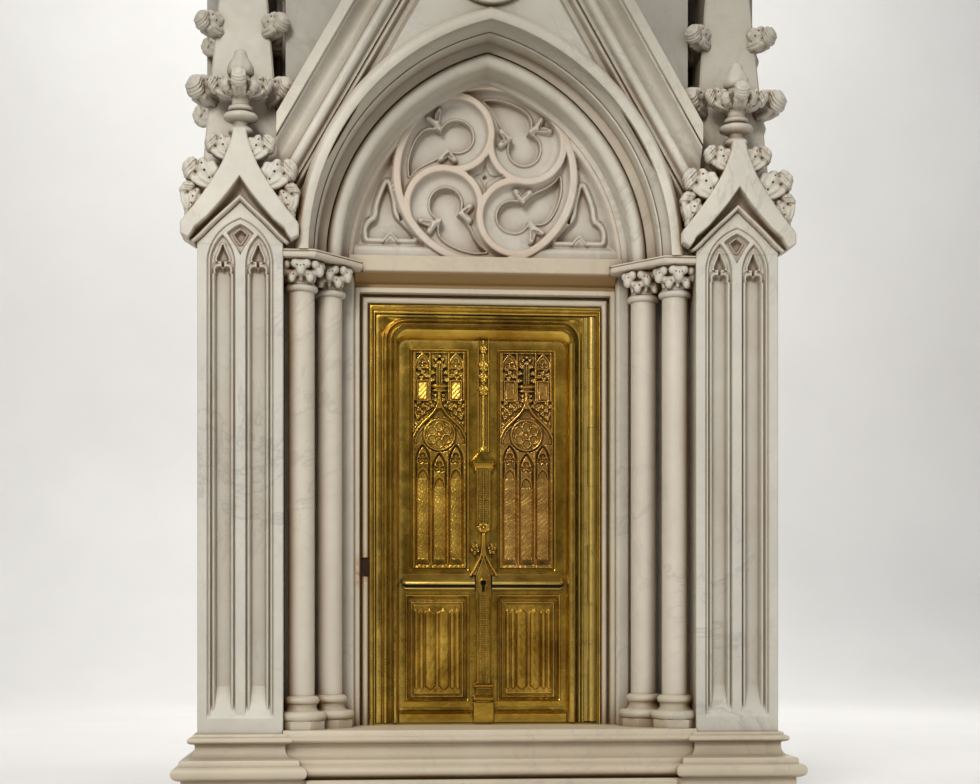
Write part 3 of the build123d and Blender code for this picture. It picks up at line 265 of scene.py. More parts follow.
M_MARBLE = marble("marble_honed", rgb(214, 209, 196), rgb(196, 192, 181), rgb(172, 138, 98), 0.6, 0.34)
M_CARVED = marble("marble_carved", rgb(217, 211, 197), rgb(196, 190, 177), rgb(150, 114, 76), 0.85, 0.28, 0.48)
M_TRACERY = marble("marble_tracery", rgb(217, 211, 199), rgb(200, 194, 182), rgb(150, 114, 76), 0.9, 0.25, 0.48, warm=(-0.0122, -0.0098))
M_STAINED = marble("marble_rust_stained", rgb(209, 198, 174), rgb(192, 182, 159), rgb(150, 114, 66), 0.8, 0.28, 0.48, spot=(-0.164, -0.008, 0.303))
M_GREY = marble("marble_grey", rgb(186, 183, 172), rgb(158, 156, 147), rgb(140, 116, 86), 0.6, 0.5, 0.5)
M_CHAMBER = marble("marble_sawn", rgb(186, 181, 170), rgb(160, 157, 148), rgb(132, 116, 92), 0.5, 0.6, 0.66)
M_BRASS = brass("brass_cast", rgb(214, 174, 70), rgb(140, 100, 26), rgb(24, 12, 2), 1.0, 0.15)
M_BRASS_P = brass("brass_polished", rgb(218, 179, 74), rgb(146, 106, 30), rgb(24, 12, 2), 1.0, 0.12)
M_BRASS_R = brass("brass_relief", rgb(228, 186, 82), rgb(136, 95, 26), rgb(18, 8, 1), 1.0, 0.18, 0.012, True)
M_LEDGE = brass("brass_ledge", rgb(190, 160, 74), rgb(130, 102, 40), rgb(20, 13, 5), 1.0, 0.36)
M_HINGE = brass("brass_hinge", rgb(170, 140, 66), rgb(104, 82, 34), rgb(18, 12, 5), 1.0, 0.24, 0.012)
M_LOCK = metal("steel_black", rgb(86, 82, 78), rgb(58, 55, 52), 0.42, 0.3)
M_BOLT = metal("steel_bright", rgb(168, 164, 158), rgb(128, 124, 118), 0.28, 0.12)
M_RUST = metal("iron_rusted", rgb(40, 24, 14), rgb(18, 12, 8), 0.75, 0.45, 0.4)
M_CEDAR = cedar("cedar_oiled")
M_WARM = marble("marble_handled", rgb(205, 195, 173), rgb(190, 180, 159), rgb(156, 118, 76), 0.8, 0.26)
# the lintel's soffit below z 0.7 m is given painted shade
M_LINTEL = marble("marble_lintel_painted_shade", rgb(200, 186, 161), rgb(190, 176, 152), rgb(136, 100, 62), 0.85, 0.22, under=(0.7, rgb(146, 114, 64)))
# near-black stand-in for shadow, used where only shade falls: the key passage and the slots under the drip ledges
M_DARK = metal("iron_painted_shadow", rgb(16, 13, 9), rgb(7, 6, 4), 0.85, 0.1, 0.2)
SLOT_MAT = {"marble": M_MARBLE, "chamber_stone": M_CHAMBER, "cast_brass": M_BRASS, "hinge_brass": M_HINGE,
            "lock_steel": M_LOCK, "bolt_steel": M_BOLT, "rusted_iron": M_RUST, "cedar": M_CEDAR}


# ------------------------------------------------------------------ mesh helpers
def mk(name, V, F, mat, body, rep=(), smooth=True, sharp=38.0):
    """F: list of index arrays (n x k) or lists of n-gons; vertices in mm."""
    me = bpy.data.meshes.new(name)
    V = np.asarray(V, float) * MM
    idx, starts, pos = [], [], 0
    for f in F:
        if isinstance(f, np.ndarray):
            n, k = f.shape
            idx.append(f.reshape(-1))
            starts.append(pos + np.arange(n) * k)
            pos += n * k
        else:
            for g in f:
                idx.append(np.asarray(g, int))
                starts.append(np.array([pos]))
                pos += len(g)
    idx, starts = np.concatenate(idx).astype(np.int32), np.concatenate(starts).astype(np.int32)
    me.vertices.add(len(V))
    me.vertices.foreach_set("co", V.reshape(-1))
    me.loops.add(len(idx))
    me.loops.foreach_set("vertex_index", idx)
    me.polygons.add(len(starts))
    me.polygons.foreach_set("loop_start", starts)
    me.update(calc_edges=True)
    me.validate()
    me.polygons.foreach_set("use_smooth", np.full(len(me.polygons), smooth))
    if smooth and sharp:
        me.set_sharp_from_angle(angle=math.radians(sharp))
    me.materials.append(mat)
    o = bpy.data.objects.new(name, me)
    bpy.context.scene.collection.objects.link(o)
    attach(o, body)
    if rep:
        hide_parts(*rep)
    return o


def chain(edges):
    """Directed boundary edges (n x 2) to closed loops."""
    nxt = {}
    for a, b in edges:
        nxt.setdefault(int(a), []).append(int(b))
    loops = []
    while nxt:
        a = next(iter(nxt))
        loop = [a]
        while True:
            b = nxt[loop[-1]].pop()
            if not nxt[loop[-1]]:
                del nxt[loop[-1]]
            if b == a:
                break
            loop.append(b)
        loops.append(loop)
    return loops


def hf(name, xs, zs, Y, yb, mat, body, rep=(), mask=None, sharp=50.0):
    """Closed solid with a modelled front: vertices at (x, Y, z), flat back at yb. mask picks cells."""
    nx, nz = len(xs), len(zs)
    X, Z = np.meshgrid(xs, zs, indexing="ij")
    if mask is None:
        mask = np.ones((nx - 1, nz - 1), bool)
    idn = np.arange(nx * nz).reshape(nx, nz)
    ci, cj = np.nonzero(mask)
    q = np.stack([idn[ci, cj], idn[ci + 1, cj], idn[ci + 1, cj + 1], idn[ci, cj + 1]], 1)
    used = np.unique(q)
    remap = -np.ones(nx * nz, int)
    remap[used] = np.arange(len(used))
    q = remap[q]
    V = np.stack([X.reshape(-1), np.asarray(Y, float).reshape(-1), Z.reshape(-1)], 1)[used]
    n = len(V)
    B = V.copy()
    B[:, 1] = yb
    e = np.concatenate([q[:, [0, 1]], q[:, [1, 2]], q[:, [2, 3]], q[:, [3, 0]]])
    key = e[:, 0].astype(np.int64) * n + e[:, 1]
    rev = e[:, 1].astype(np.int64) * n + e[:, 0]
    bd = e[~np.isin(key, rev)]
    # only the border has back vertices; the back is one flat face per border loop
    bu = np.unique(bd)
    bm = -np.ones(n, int)
    bm[bu] = n + np.arange(len(bu))
    side = np.stack([bd[:, 1], bd[:, 0], bm[bd[:, 0]], bm[bd[:, 1]]], 1)
    loops = [[int(bm[i]) for i in reversed(l)] for l in chain(bd)]
    return mk(name, np.concatenate([V, B[bu]]), [q, side, loops], mat, body, rep, True, sharp)


def surf_nets(lo, hi, h, f):
    """Mesh of f < 0 on a grid (mm)."""
    ax = [np.arange(lo[i] - 2 * h, hi[i] + 2.5 * h, h) for i in range(3)]
    X, Y, Z = np.meshgrid(*ax, indexing="ij")
    D = f(X, Y, Z)
    D[0], D[-1] = 9, 9
    D[:, 0], D[:, -1] = 9, 9
    D[:, :, 0], D[:, :, -1] = 9, 9
    S = D < 0
    nx, ny, nz = D.shape
    c = (nx - 1, ny - 1, nz - 1)
    acc, cnt = np.zeros(c + (3,)), np.zeros(c)
    offs = [(i, j, k) for i in (0, 1) for j in (0, 1) for k in (0, 1)]
    sl = lambda o: tuple(slice(o[i], o[i] + c[i]) for i in range(3))
    for a in offs:
        for ax_i in range(3):
            if a[ax_i]:
                continue
            b = list(a)
            b[ax_i] = 1
            da, db = D[sl(a)], D[sl(b)]
            cr = (da < 0) != (db < 0)
            t = np.where(cr, da / np.where(cr, da - db, 1), 0)
            cnt += cr
            for d in range(3):
                acc[..., d] += cr * (a[d] + (t if d == ax_i else 0))
    act = cnt > 0
    ids = -np.ones(c, int)
    ids[act] = np.arange(act.sum())
    I = np.argwhere(act)
    V = (I + acc[act] / cnt[act][:, None]) * h + np.array([ax[0][0], ax[1][0], ax[2][0]])
    quads = []
    for d in range(3):
        u, v = (d + 1) % 3, (d + 2) % 3
        a = [slice(None)] * 3
        b = [slice(None)] * 3
        a[d], b[d] = slice(0, -1), slice(1, None)
        sa, sb = S[tuple(a)], S[tuple(b)]
        P = np.argwhere(sa != sb)
        P = P[(P[:, u] > 0) & (P[:, v] > 0) & (P[:, u] < D.shape[u] - 1) & (P[:, v] < D.shape[v] - 1)]
        fl = sa[tuple(P.T)]
        def at(du, dv):
            Q = P.copy()
            Q[:, u] -= du
            Q[:, v] -= dv
            return ids[tuple(Q.T)]
        q = np.stack([at(1, 1), at(0, 1), at(0, 0), at(1, 0)], 1)
        q[~fl] = q[~fl][:, ::-1]
        quads.append(q)
    return V, np.concatenate(quads)


def smin(a, b, k):
    h = np.clip(0.5 + 0.5 * (b - a) / k, 0, 1)
    return b * (1 - h) + a * h - k * h * (1 - h)


def ell(X, Y, Z, c, r):
    q = np.sqrt(((X - c[0]) / r[0]) ** 2 + ((Y - c[1]) / r[1]) ** 2 + ((Z - c[2]) / r[2]) ** 2)
    return (q - 1) * min(r)


def cap3(X, Y, Z, a, b, r0, r1=None):
    r1 = r0 if r1 is None else r1
    a, b = np.array(a, float), np.array(b, float)
    d = b - a
    L = (d ** 2).sum()
    t = np.clip(((X - a[0]) * d[0] + (Y - a[1]) * d[1] + (Z - a[2]) * d[2]) / L, 0, 1)
    return np.sqrt((X - a[0] - t * d[0]) ** 2 + (Y - a[1] - t * d[1]) ** 2 + (Z - a[2] - t * d[2]) ** 2) - (r0 + (r1 - r0) * t)


def seg2(X, Z, a, b):
    dx, dz = b[0] - a[0], b[1] - a[1]
    t = np.clip(((X - a[0]) * dx + (Z - a[1]) * dz) / max(dx * dx + dz * dz, 1e-9), 0, 1)
    return np.hypot(X - a[0] - t * dx, Z - a[1] - t * dz)


def poly2(X, Z, pts):
    return np.minimum.reduce([seg2(X, Z, a, b) for a, b in zip(pts, pts[1:])])


def inside(X, Z, pts):
    r = np.zeros(X.shape, bool)
    for (x0, z0), (x1, z1) in zip(pts, pts[1:] + pts[:1]):
        if z0 == z1:
            continue
        c = ((z0 > Z) != (z1 > Z)) & (X < (x1 - x0) * (Z - z0) / (z1 - z0) + x0)
        r ^= c
    return r


def sd_poly(X, Z, pts):
    d = poly2(X, Z, list(pts) + [pts[0]])
    return np.where(inside(X, Z, list(pts)), -d, d)


def smooth_pts(pts, corners, n=6):
    """Catmull-Rom through a closed list, keeping the named corners sharp."""
    out, N = [], len(pts)
    P = [np.array(p, float) for p in pts]
    for i in range(N):
        p0, p1, p2, p3 = P[i - 1], P[i], P[(i + 1) % N], P[(i + 2) % N]
        if i in corners:
            p0 = p1 - (p2 - p1) * 0.5
        if (i + 1) % N in corners:
            p3 = p2 + (p2 - p1) * 0.5
        for t in np.arange(n) / n:
            out.append(tuple(0.5 * (2 * p1 + (p2 - p0) * t + (2 * p0 - 5 * p1 + 4 * p2 - p3) * t * t + (3 * p1 - p0 - 3 * p2 + p3) * t ** 3)))
    return out


def arcd(X, Z, c, r, a0, a1):
    """Distance to an arc that runs from a0 anticlockwise to a1 (degrees)."""
    ang = (np.degrees(np.arctan2(Z - c[1], X - c[0])) - a0) % 360
    on = ang <= (a1 - a0)
    d = np.abs(np.hypot(X - c[0], Z - c[1]) - r)
    e = [np.hypot(X - c[0] - r * math.cos(math.radians(a)), Z - c[1] - r * math.sin(math.radians(a))) for a in (a0, a1)]
    return np.where(on, d, np.minimum(*e))


def lerp(d, ds, ys):
    return np.interp(d, ds, ys)


def dome(d, r, h):
    return h * np.sqrt(np.clip(1 - (d / r) ** 2, 0, 1))


def recalc(o):
    import bmesh
    b = bmesh.new()
    b.from_mesh(o.data)
    bmesh.ops.recalc_face_normals(b, faces=b.faces)
    b.to_mesh(o.data)
    b.free()
    return o


def tube(name, rings, mat, body, rep=(), sharp=32.0):
    """rings: list of (n x 3) closed sections; capped at both ends."""
    m, n = len(rings), len(rings[0])
    V = np.concatenate(rings)
    i, j = np.meshgrid(np.arange(m - 1), np.arange(n), indexing="ij")
    i, j = i.reshape(-1), j.reshape(-1)
    k = (j + 1) % n
    q = np.stack([i * n + j, i * n + k, (i + 1) * n + k, (i + 1) * n + j], 1)
    o = mk(name, V, [q, [list(range(n)), [(m - 1) * n + t for t in range(n - 1, -1, -1)]]], mat, body, rep, True, sharp)
    return recalc(o)


def lathe(cx, cy, prof, n=48, lobe=None):
    """Vertices and faces of a turned solid; prof runs from the axis to the axis (r, z)."""
    a = np.linspace(0, 2 * math.pi, n, endpoint=False)
    V, F = [(cx, cy, prof[0][1])], []
    rows = []
    for r, z in prof[1:-1]:
        rr = r * (lobe(a, z) if lobe else 1.0) * np.ones(n)
        rows.append(len(V))
        V += [(cx + rr[t] * math.cos(a[t]), cy + rr[t] * math.sin(a[t]), z) for t in range(n)]
    V.append((cx, cy, prof[-1][1]))
    t = np.arange(n)
    u = (t + 1) % n
    tri = [np.stack([np.zeros(n, int), rows[0] + u, rows[0] + t], 1), np.stack([np.full(n, len(V) - 1), rows[-1] + t, rows[-1] + u], 1)]
    quads = [np.stack([r0 + t, r0 + u, r1 + u, r1 + t], 1) for r0, r1 in zip(rows, rows[1:])]
    return np.array(V, float), [np.concatenate(tri), np.concatenate(quads)]


def join(parts):
    V, tri, quad, n = [], [], [], 0
    for v, fs in parts:
        for f in fs:
            (tri if f.shape[1] == 3 else quad).append(f + n)
        V.append(v)
        n += len(v)
    return np.concatenate(V), [np.concatenate(x) for x in (tri, quad) if x]


def rollp(c, y, r, a0, a1, n=9):
    """Points of a roll that stands towards -y: c is its place across the moulding."""
    return [(c + r * math.cos(math.radians(a)), y - r * math.sin(math.radians(a))) for a in np.linspace(a0, a1, n)]


def cove(p, q, k, n=7):
    """Hollow from p to q, bowed by k away from the chord."""
    p, q = np.array(p, float), np.array(q, float)
    t = np.linspace(0, 1, n)
    nrm = np.array([-(q - p)[1], (q - p)[0]])
    nrm /= np.hypot(*nrm)
    return [tuple(p + (q - p) * s + nrm * k * 4 * s * (1 - s)) for s in t]


C, SPR = 78.5, 706.0


def arch(name, prof, z0, mat, rep, n=44):
    R = np.array([p[0] for p in prof])
    Y = np.array([p[1] for p in prof])
    t0, t1 = np.arcsin((z0 - SPR) / R), np.arccos(C / R)
    rings = []
    for s in np.linspace(0, 1, n):
        th = t0 + (t1 - t0) * s
        rings.append(np.stack([C - R * np.cos(th), Y, SPR + R * np.sin(th)], 1))
    rings[-1][:, 0] = 0
    for g in rings[-2::-1]:
        rings.append(g * np.array([-1, 1, 1]))
    return tube(name, rings, mat, "tabernacle", rep)


def upath(row, z0, na=14, extra=()):
    xl, xr, zt, r = row
    a = np.linspace(0, math.pi / 2, na)
    pts = [(xl, z0)] + [(xl, z) for z in extra]
    pts += [(xl + r - r * math.cos(t), zt - r + r * math.sin(t)) for t in a]
    pts += [(xr - r + r * math.sin(t), zt - r + r * math.cos(t)) for t in a]
    pts += [(xr, z) for z in reversed(extra)] + [(xr, z0)]
    return np.array(pts)


def usweep(name, rows, z0, mat, body, rep=(), extra=(), fix=None, sharp=32.0):
    """rows: (xl, xr, ztop, corner radius, y), a closed profile carried round an inverted U."""
    P = [upath(r[:4], z0, 14, extra) for r in rows]
    rings = []
    for s in range(len(P[0])):
        ring = np.array([(P[i][s][0], rows[i][4], P[i][s][1]) for i in range(len(rows))])
        if fix is not None:
            ring = fix(ring)
        rings.append(ring)
    return tube(name, rings, mat, body, rep, sharp)


# ------------------------------------------------------------------ arch, surround, rakes
arch("arch_inner_moulded",
     [(262, 60), (262, -13), (263.5, -16), (269.5, -18), (271, -22), (271.5, -38)] + rollp(281, -45, 9.2, 176, 4, 11)
     + [(290.6, -41), (291.6, -47.5), (303.2, -48.5), (303.2, 60)], 709, M_CARVED, ["arch_inner_order"])
arch("arch_outer_moulded",
     [(303, 60), (303, -72), (303.8, -76), (305.8, -77.2), (307, -76)] + cove((307.4, -79), (312.2, -107), 3.6)
     + [(312.6, -109.6), (314, -110.4), (322.6, -110.4), (324.2, -109.6), (330.4, -101), (330.4, 60)], 709, M_CARVED, ["arch_outer_order"])

rows = []
for d, y in [(0, 60), (0, -0.5), (1.2, -1.5)] + rollp(5.5, -3.2, 4.2, 165, 15, 8) + [(9.9, -1.2), (10.4, 1.0), (12.0, 1.0), (12.5, -2), (12.7, -12.8), (13.6, -14.4), (18.4, -14.4), (19.4, -13.2), (19.5, 60)]:
    rows.append((-156 - d, 156 + d, 659 + d * 22 / 19.5, 0.4 + d * 0.05, y))
NZ0, NZ1 = bx("strike_box")[0][2], bx("strike_box")[1][2]


def notch(ring):
    x, y, z = ring.T
    m = (x < -155) & (x > -165.5) & (z > NZ0 + 1) & (z < NZ1 - 1) & (y < 50)
    ring[m, 1] = np.maximum(ring[m, 1], 1.0)
    return ring


usweep("surround_moulded", rows, 96, M_STAINED, "tabernacle", ["door_surround"],
       extra=(NZ0 - 8, NZ0, NZ0 + 1.6, NZ0 + 9, NZ1 - 9, NZ1 - 1.6, NZ1, NZ1 + 8), fix=notch)

GS = 1.753
TH = math.atan(GS)
G_FOOT, G_APEX = 896.0, 896.0 + 266 * GS
rp = [(0, -58), (0, -111), (1, -112), (13, -112), (14, -111), (14.6, -107), (17, -105.5)] + cove((18, -103), (41, -101), 9) + [(41.5, -103.4)] \
    + rollp(49, -101, 6.6, 165, 15, 9) + [(56.5, -98), (57.2, -96.5), (61, -96.5), (61.6, -93)] + rollp(65.5, -94, 2.8, 170, 10, 6) \
    + [(69.6, -91), (71, -88.5), (77, -88.5), (79, -91), (83, -98.4), (83, -58)]
for sgn, nm in ((1, "right"), (-1, "left")):
    rings = []
    for x in (274.5, 180.0, 90.0, 0.0):
        rings.append(np.array([(sgn * x, y, G_APEX - GS * x - w / math.cos(TH)) for w, y in rp]))
    # the outer fillet of the hood covers the inside of the rake, so the moulding can run on behind it
    tube("rake_moulded_" + nm, rings, M_CARVED, "tabernacle", ["gable_rake_" + nm])

# ------------------------------------------------------------------ brass frame and leaf mouldings
def settle(ring):
    """The frame was set a little out of level: its top falls to the right."""
    x, y, z = ring.T
    ring[:, 2] = z - np.where(z > 652.0, (x + 156) / 312 * 2.6 * np.clip((z - 652.0) / 6, 0, 1), 0)
    return ring


usweep("border_moulded",
       [(-156, 156, 658.9, .6, -5.8), (-156, 156, 658.9, .6, -6.9), (-155.5, 155.7, 658.5, .8, -8.0), (-154.6, 155.2, 657.7, 1, -8.7), (-153.4, 154.7, 656.4, 1, -9.0),
        (-152.0, 154.0, 654.8, 1, -8.8), (-150.9, 153.4, 653.2, 1, -8.0), (-150.3, 153.0, 652.2, 1, -7.0), (-149.9, 152.7, 651.4, 1, -6.5), (-149.4, 152.3, 650.6, 1, -7.3),
        (-148.7, 151.7, 649.4, 1, -7.5), (-148.2, 151.2, 648.2, 1, -7.0), (-148.1, 151.1, 647.9, 1, -5.8)],
       96, M_BRASS, "tabernacle", fix=settle, sharp=26.0)
usweep("leaf_moulding",
       [(-147, 134, 646.5, 1.5, 13.8), (-147, 134, 646.5, 1.5, -3), (-146.2, 133.5, 645.9, 2, -4.4), (-143.5, 132.3, 644.4, 8, -4.9),
        (-140.5, 131.0, 642.9, 16, -4.7), (-138.4, 129.9, 641.8, 24, -3.0), (-137.4, 129.3, 641.2, 27, -3.2), (-136.8, 128.8, 640.8, 27, -5.6),
        (-135.6, 128, 639.9, 26.5, -7.3), (-133.6, 126.9, 638.6, 25.5, -7.4), (-131.8, 126, 637.0, 24, -5.6), (-130.2, 125.2, 635.6, 22.5, -2.6),
        (-128.4, 124.4, 633.8, 21, -1.8), (-126.4, 123.2, 631.6, 19.5, -2.8), (-125.6, 122.6, 630.8, 19, -5.4), (-124.4, 121.4, 629.6, 18, -8.0),
        (-122.6, 119.6, 627.6, 17, -9.3), (-120.4, 117.2, 625.2, 16, -9.2), (-118.4, 114.6, 622.2, 14.5, -7.6), (-117.0, 112.4, 619.0, 13, -5.0),
        (-116.1, 110.6, 616.0, 11.5, -2.0), (-115.6, 109.6, 614.0, 10.5, 0.4), (-115.2, 109.0, 613.2, 10, 2.4), (-115.2, 109.0, 613.2, 10, 13.8)],
       99, M_BRASS_P, "door", sharp=26.0)

X0 = -2.5
RECTS = [(X0 + s * 59 - 36, 307.0, X0 + s * 59 + 36, 598.5) for s in (-1, 1)] + [(X0 + s * 62 - 39, 131.5, X0 + s * 62 + 39, 267.0) for s in (-1, 1)]


def fine(breaks, lo, hi, near, step):
    v = list(np.arange(lo, hi, step)) + [lo, hi]
    for b in breaks:
        v += [b + t for t in near]
    v = np.array(sorted(x for x in v if lo - 1e-6 <= x <= hi + 1e-6))
    keep = [v[0]]
    for x in v[1:]:
        if x - keep[-1] > 0.12:
            keep.append(x)
    return np.array(keep)


near = [-0.5, 0, .6, 1.4, 2.2, 3.0, 3.8, 4.6, 5.4]
near = near + [-t for t in near]
xs = fine([r[0] for r in RECTS] + [r[2] for r in RECTS], -115.6, 109.6, near, 9)
zs = fine([r[1] for r in RECTS] + [r[3] for r in RECTS] + [110, 112, 114, 116, 119], 99, 613.6, near, 12)
Xg, Zg = np.meshgrid(xs, zs, indexing="ij")
Y = np.full(Xg.shape, 2.0)
for x0, z0, x1, z1 in RECTS:
    qx, qz = np.maximum(x0 - Xg, Xg - x1), np.maximum(z0 - Zg, Zg - z1)
    d = np.where((qx < 0) & (qz < 0), np.maximum(qx, qz), np.maximum(qx, qz))
    Y = np.where(d < 5.0, lerp(d, [-0.6, 0, 0.6, 1.4, 2.2, 3.0, 3.8, 4.6], [10, 4.5, 3.0, 2.4, 0.6, 0.2, 0.9, 2.0]), Y)
Y = np.where(Zg < 119.2, lerp(Zg, [99, 110, 112, 114, 116, 119], [-4, -4, -1.5, 0.8, 2.3, 3.0]), Y)
hf("leaf_plate", xs, zs, Y, 13.9, M_BRASS_P, "door", ["door_leaf"], sharp=35)


# ------------------------------------------------------------------ brass relief panels
def lancet(A, Z, c, h, zs, za):
    k = ((za - zs) ** 2 - h * h) / (2 * h)
    dx = np.abs(A - c)
    return np.where(Z < zs, dx - h, np.hypot(dx + k, Z - zs) - (h + k))


def tracery_H(A, Z):
    B = np.abs(A)
    H = np.full(A.shape, 1.6)
    r2 = np.random.default_rng(11)
    low = Z < 480
    # three lights with cusped heads
    mull = np.full(A.shape, 9.0)
    for c, za in ((-22.4, 473.5), (0.0, 462.0), (22.4, 473.5)):
        D = lancet(A, Z, c, 9.1, za - 21, za)
        mull = np.minimum(mull, D)
    H = np.where(low, lerp(mull, [-3.2, -1.4, -0.4, 0.5, 1.3, 2.0], [0.0, 1.0, 3.6, 5.8, 7.2, 7.6]), H)
    for c, za in ((-22.4, 473.5), (0.0, 462.0), (22.4, 473.5)):
        D = lancet(A, Z, c, 9.1, za - 21, za)
        inn = D < -1.8
        head = inn & (Z > za - 46)
        sub = lancet(A, Z, c, 6.9, za - 46, za - 33.5)
        tre = np.minimum.reduce([np.hypot(A - c, Z - (za - 14.5)) - 3.4, np.hypot(A - c - 3.7, Z - (za - 21)) - 3.3, np.hypot(A - c + 3.7, Z - (za - 21)) - 3.3,
                                 np.hypot(A - c, Z - (za - 20)) - 2.6])
        op = np.minimum(sub, tre)
        H = np.where(head, np.maximum(H, lerp(op, [-1.4, -0.2, 0.8, 1.6], [0.2, 2.6, 4.6, 5.0])), H)
        H = np.where(inn & (Z <= za - 46) & (Z > 318), 0.3 + 0.5 * np.cos((A - c) / 6.9 * 1.3) + 0.22 * np.sin(A * 1.9 + 2 * np.sin(Z * 0.31)) * np.sin(Z * 1.13 + A), H)
    # roll down each mullion
    for c in (-11.2, 11.2):
        H = np.where(low & (Z > 312) & (np.abs(A - c) < 1.6), np.maximum(H, 6.2 + dome(A - c, 1.6, 2.4)), H)
    H = np.where((Z < 320) & (mull < 0.5), np.maximum(H, lerp(Z, [307, 311, 318, 320], [7, 6.2, 1.6, 0.2])), H)
    # rose in its ring, under an ogee gablet
    zc = 487.0
    rr = np.hypot(A, Z - zc)
    up = Z >= 474
    H = np.where(up & (Z < 530), np.minimum(H, 2.0) * 0 + 2.0, H)
    H = np.where(rr < 23.5, 2.2, H)
    foil = np.minimum.reduce([np.hypot(A - 11.3 * math.cos(t), Z - zc - 11.3 * math.sin(t)) - 4.9 for t in np.arange(6) * math.pi / 3 + math.pi / 6])
    H = np.where(rr < 19, lerp(foil, [-3.5, -1.2, -0.2, 0.7, 1.8, 3.2], [1.2, 1.6, 4.2, 6.6, 5.6, 3.8]), H)
    H = np.where(rr < 19, np.maximum(H, 3 + dome(rr, 3.6, 5.0)), H)
    H = np.maximum(H, lerp(np.abs(rr - 20.6), [0, 1.1, 2.0, 2.8], [8.2, 7.6, 5.4, 0]))
    og = [(36.5, 470), (36.0, 482), (31.0, 492.6), (25.6, 499.6), (19.6, 505.4), (13.4, 511.4), (8.6, 516.6), (4.8, 522), (2.2, 528), (0.6, 536)]
    dog = poly2(B, Z, og)
    H = np.maximum(H, lerp(dog, [0, 0.9, 1.9, 2.8, 3.4], [9.4, 9.0, 7.2, 4.6, 0]))
    H = np.where((dog > 3.2) & (dog < 5.0) & (rr > 23) & (Z < 510), np.maximum(H, 4.6), H)
    # crockets along the gablet, leaves in the spandrels
    leaf = [(31.5, 494, 3.6, 7), (26, 503, 3.6, 7.5), (18.8, 509.8, 3.4, 7.5), (11, 515.5, 3.2, 7.5), (33.5, 503, 3.4, 5), (29, 511, 4.2, 6), (22, 516, 3.8, 6),
            (33.5, 516.5, 3.2, 5), (15.5, 522.5, 4.0, 6.4), (27.5, 521, 4.0, 6.4), (21, 526, 4.2, 6.6), (33, 526, 3.6, 6), (9, 526, 3.2, 6), (5.6, 534, 3.4, 8),
            (28, 530.5, 3.6, 6), (12, 532, 3.4, 6), (5.5, 540, 3.0, 7)]
    leaf += [(9.2, 560.5, 3.8, 8.4), (13.4, 565.5, 3.6, 7.4), (8.4, 570.5, 3.8, 8.2), (12.6, 575.5, 3.2, 7), (6.4, 579.5, 3.6, 8), (0, 584, 4.4, 9.6), (4.6, 588.5, 3.0, 8),
             (0, 592.5, 3.2, 9), (18.0, 567, 3.6, 6.2), (24, 563.5, 3.8, 6.4), (29, 568.5, 3.6, 6.2), (22.4, 571.5, 3.8, 6.6), (31.5, 562.5, 3.0, 5.6), (26.8, 576, 3.0, 6)]
    for x, z, r, h in leaf:
        d = np.hypot(B - x, (Z - z) * 1.0)
        ang = np.arctan2(Z - z, B - x)
        rl = r * (1 + 0.20 * np.cos(3 * ang + x))
        H = np.where(d < rl, np.maximum(H, 2.0 + (h - 2.0) * np.sqrt(np.clip(1 - (d / rl) ** 2, 0, 1)) - 1.9 * np.exp(-((d - 0.2) / 0.9) ** 2)), H)
    # stem, knop and finial shaft
    H = np.where((B < 3.2) & (Z > 522) & (Z < 546), np.maximum(H, 5 + dome(B, 3.3, 4)), H)
    kz = np.interp(Z, [543.5, 545, 546.5, 548.5, 551, 553, 555, 557], [3, 9.5, 11, 7.5, 10.5, 11, 8, 3])
    kh = np.interp(Z, [543.5, 545.5, 547, 548.8, 551, 553.5, 555.2, 557], [5, 9.2, 9.2, 6.6, 9.8, 10.2, 8, 5])
    H = np.where((Z > 543.5) & (Z < 557) & (B < kz), np.maximum(H, kh - 2.6 * (B / np.maximum(kz, 1)) ** 4), H)
    H = np.where((B < 5.0) & (Z >= 556) & (Z < 584), np.maximum(H, 6.6 + 1.6 * np.cos(B * 1.9)), H)
    # side tabernacles: plain windows, small arches above, slim shafts between
    for c in (-22.6, 22.6):
        wx, wz = np.abs(A - c) - 6.4, np.abs(Z - 546.5) - 12.6
        d = np.maximum(wx, wz)
        H = np.where(d < 2.0, lerp(d, [-1.6, -0.5, 0.3, 1.4, 2.0], [3.6, 3.4, 6.6, 6.8, 3.6]) - np.where(d < -1.0, 0.11 * (Z - 546.5) + 0.06 * (A - c), 0), H)
        D = lancet(A, Z, c, 8.0, 581, 595)
        top = (Z > 577) & (Z < 598)
        H = np.where(top & (D < 2.6), lerp(D, [-3.2, -1.6, -0.6, 0.4, 1.6, 2.6], [0.6, 1.6, 5.4, 7.0, 6.0, 2.4]), H)
        tre = np.minimum.reduce([np.hypot(A - c, Z - 587) - 2.6, np.hypot(np.abs(A - c) - 3, Z - 582) - 2.4])
        H = np.where(top & (D < -1.4), np.where(tre < 0, 0.4, 3.4), H)
    for c in (12.6, 33.0):
        H = np.where((np.abs(B - c) < 1.7) & (Z > 533), np.maximum(H, 4.6 + dome(B - c, 1.75, 3.2)), H)
    for zc2 in (534.0, 560.0, 577.0):
        H = np.where((B > 13) & (np.abs(Z - zc2) < 1.3), np.maximum(H, 4.2 + dome(Z - zc2, 1.4, 2)), H)
    edge = np.minimum(36.0 - B, np.minimum(Z - 307, 598.5 - Z))
    H = np.where(edge < 2.2, np.maximum(H, lerp(edge, [0, 0.7, 1.5, 2.2], [5.5, 6.4, 6.2, 3])), H)
    return H


xs = np.arange(-35.75, 35.76, 0.5)
zs = np.arange(307.25, 598.3, 0.55)
Ag, Zg = np.meshgrid(xs, zs, indexing="ij")
Ht = tracery_H(Ag, Zg)
wob = 0.10 * np.sin(Ag * 0.9 + 1.3 * np.sin(Zg * 0.23)) * np.sin(Zg * 0.8 + np.sin(Ag * 0.31))
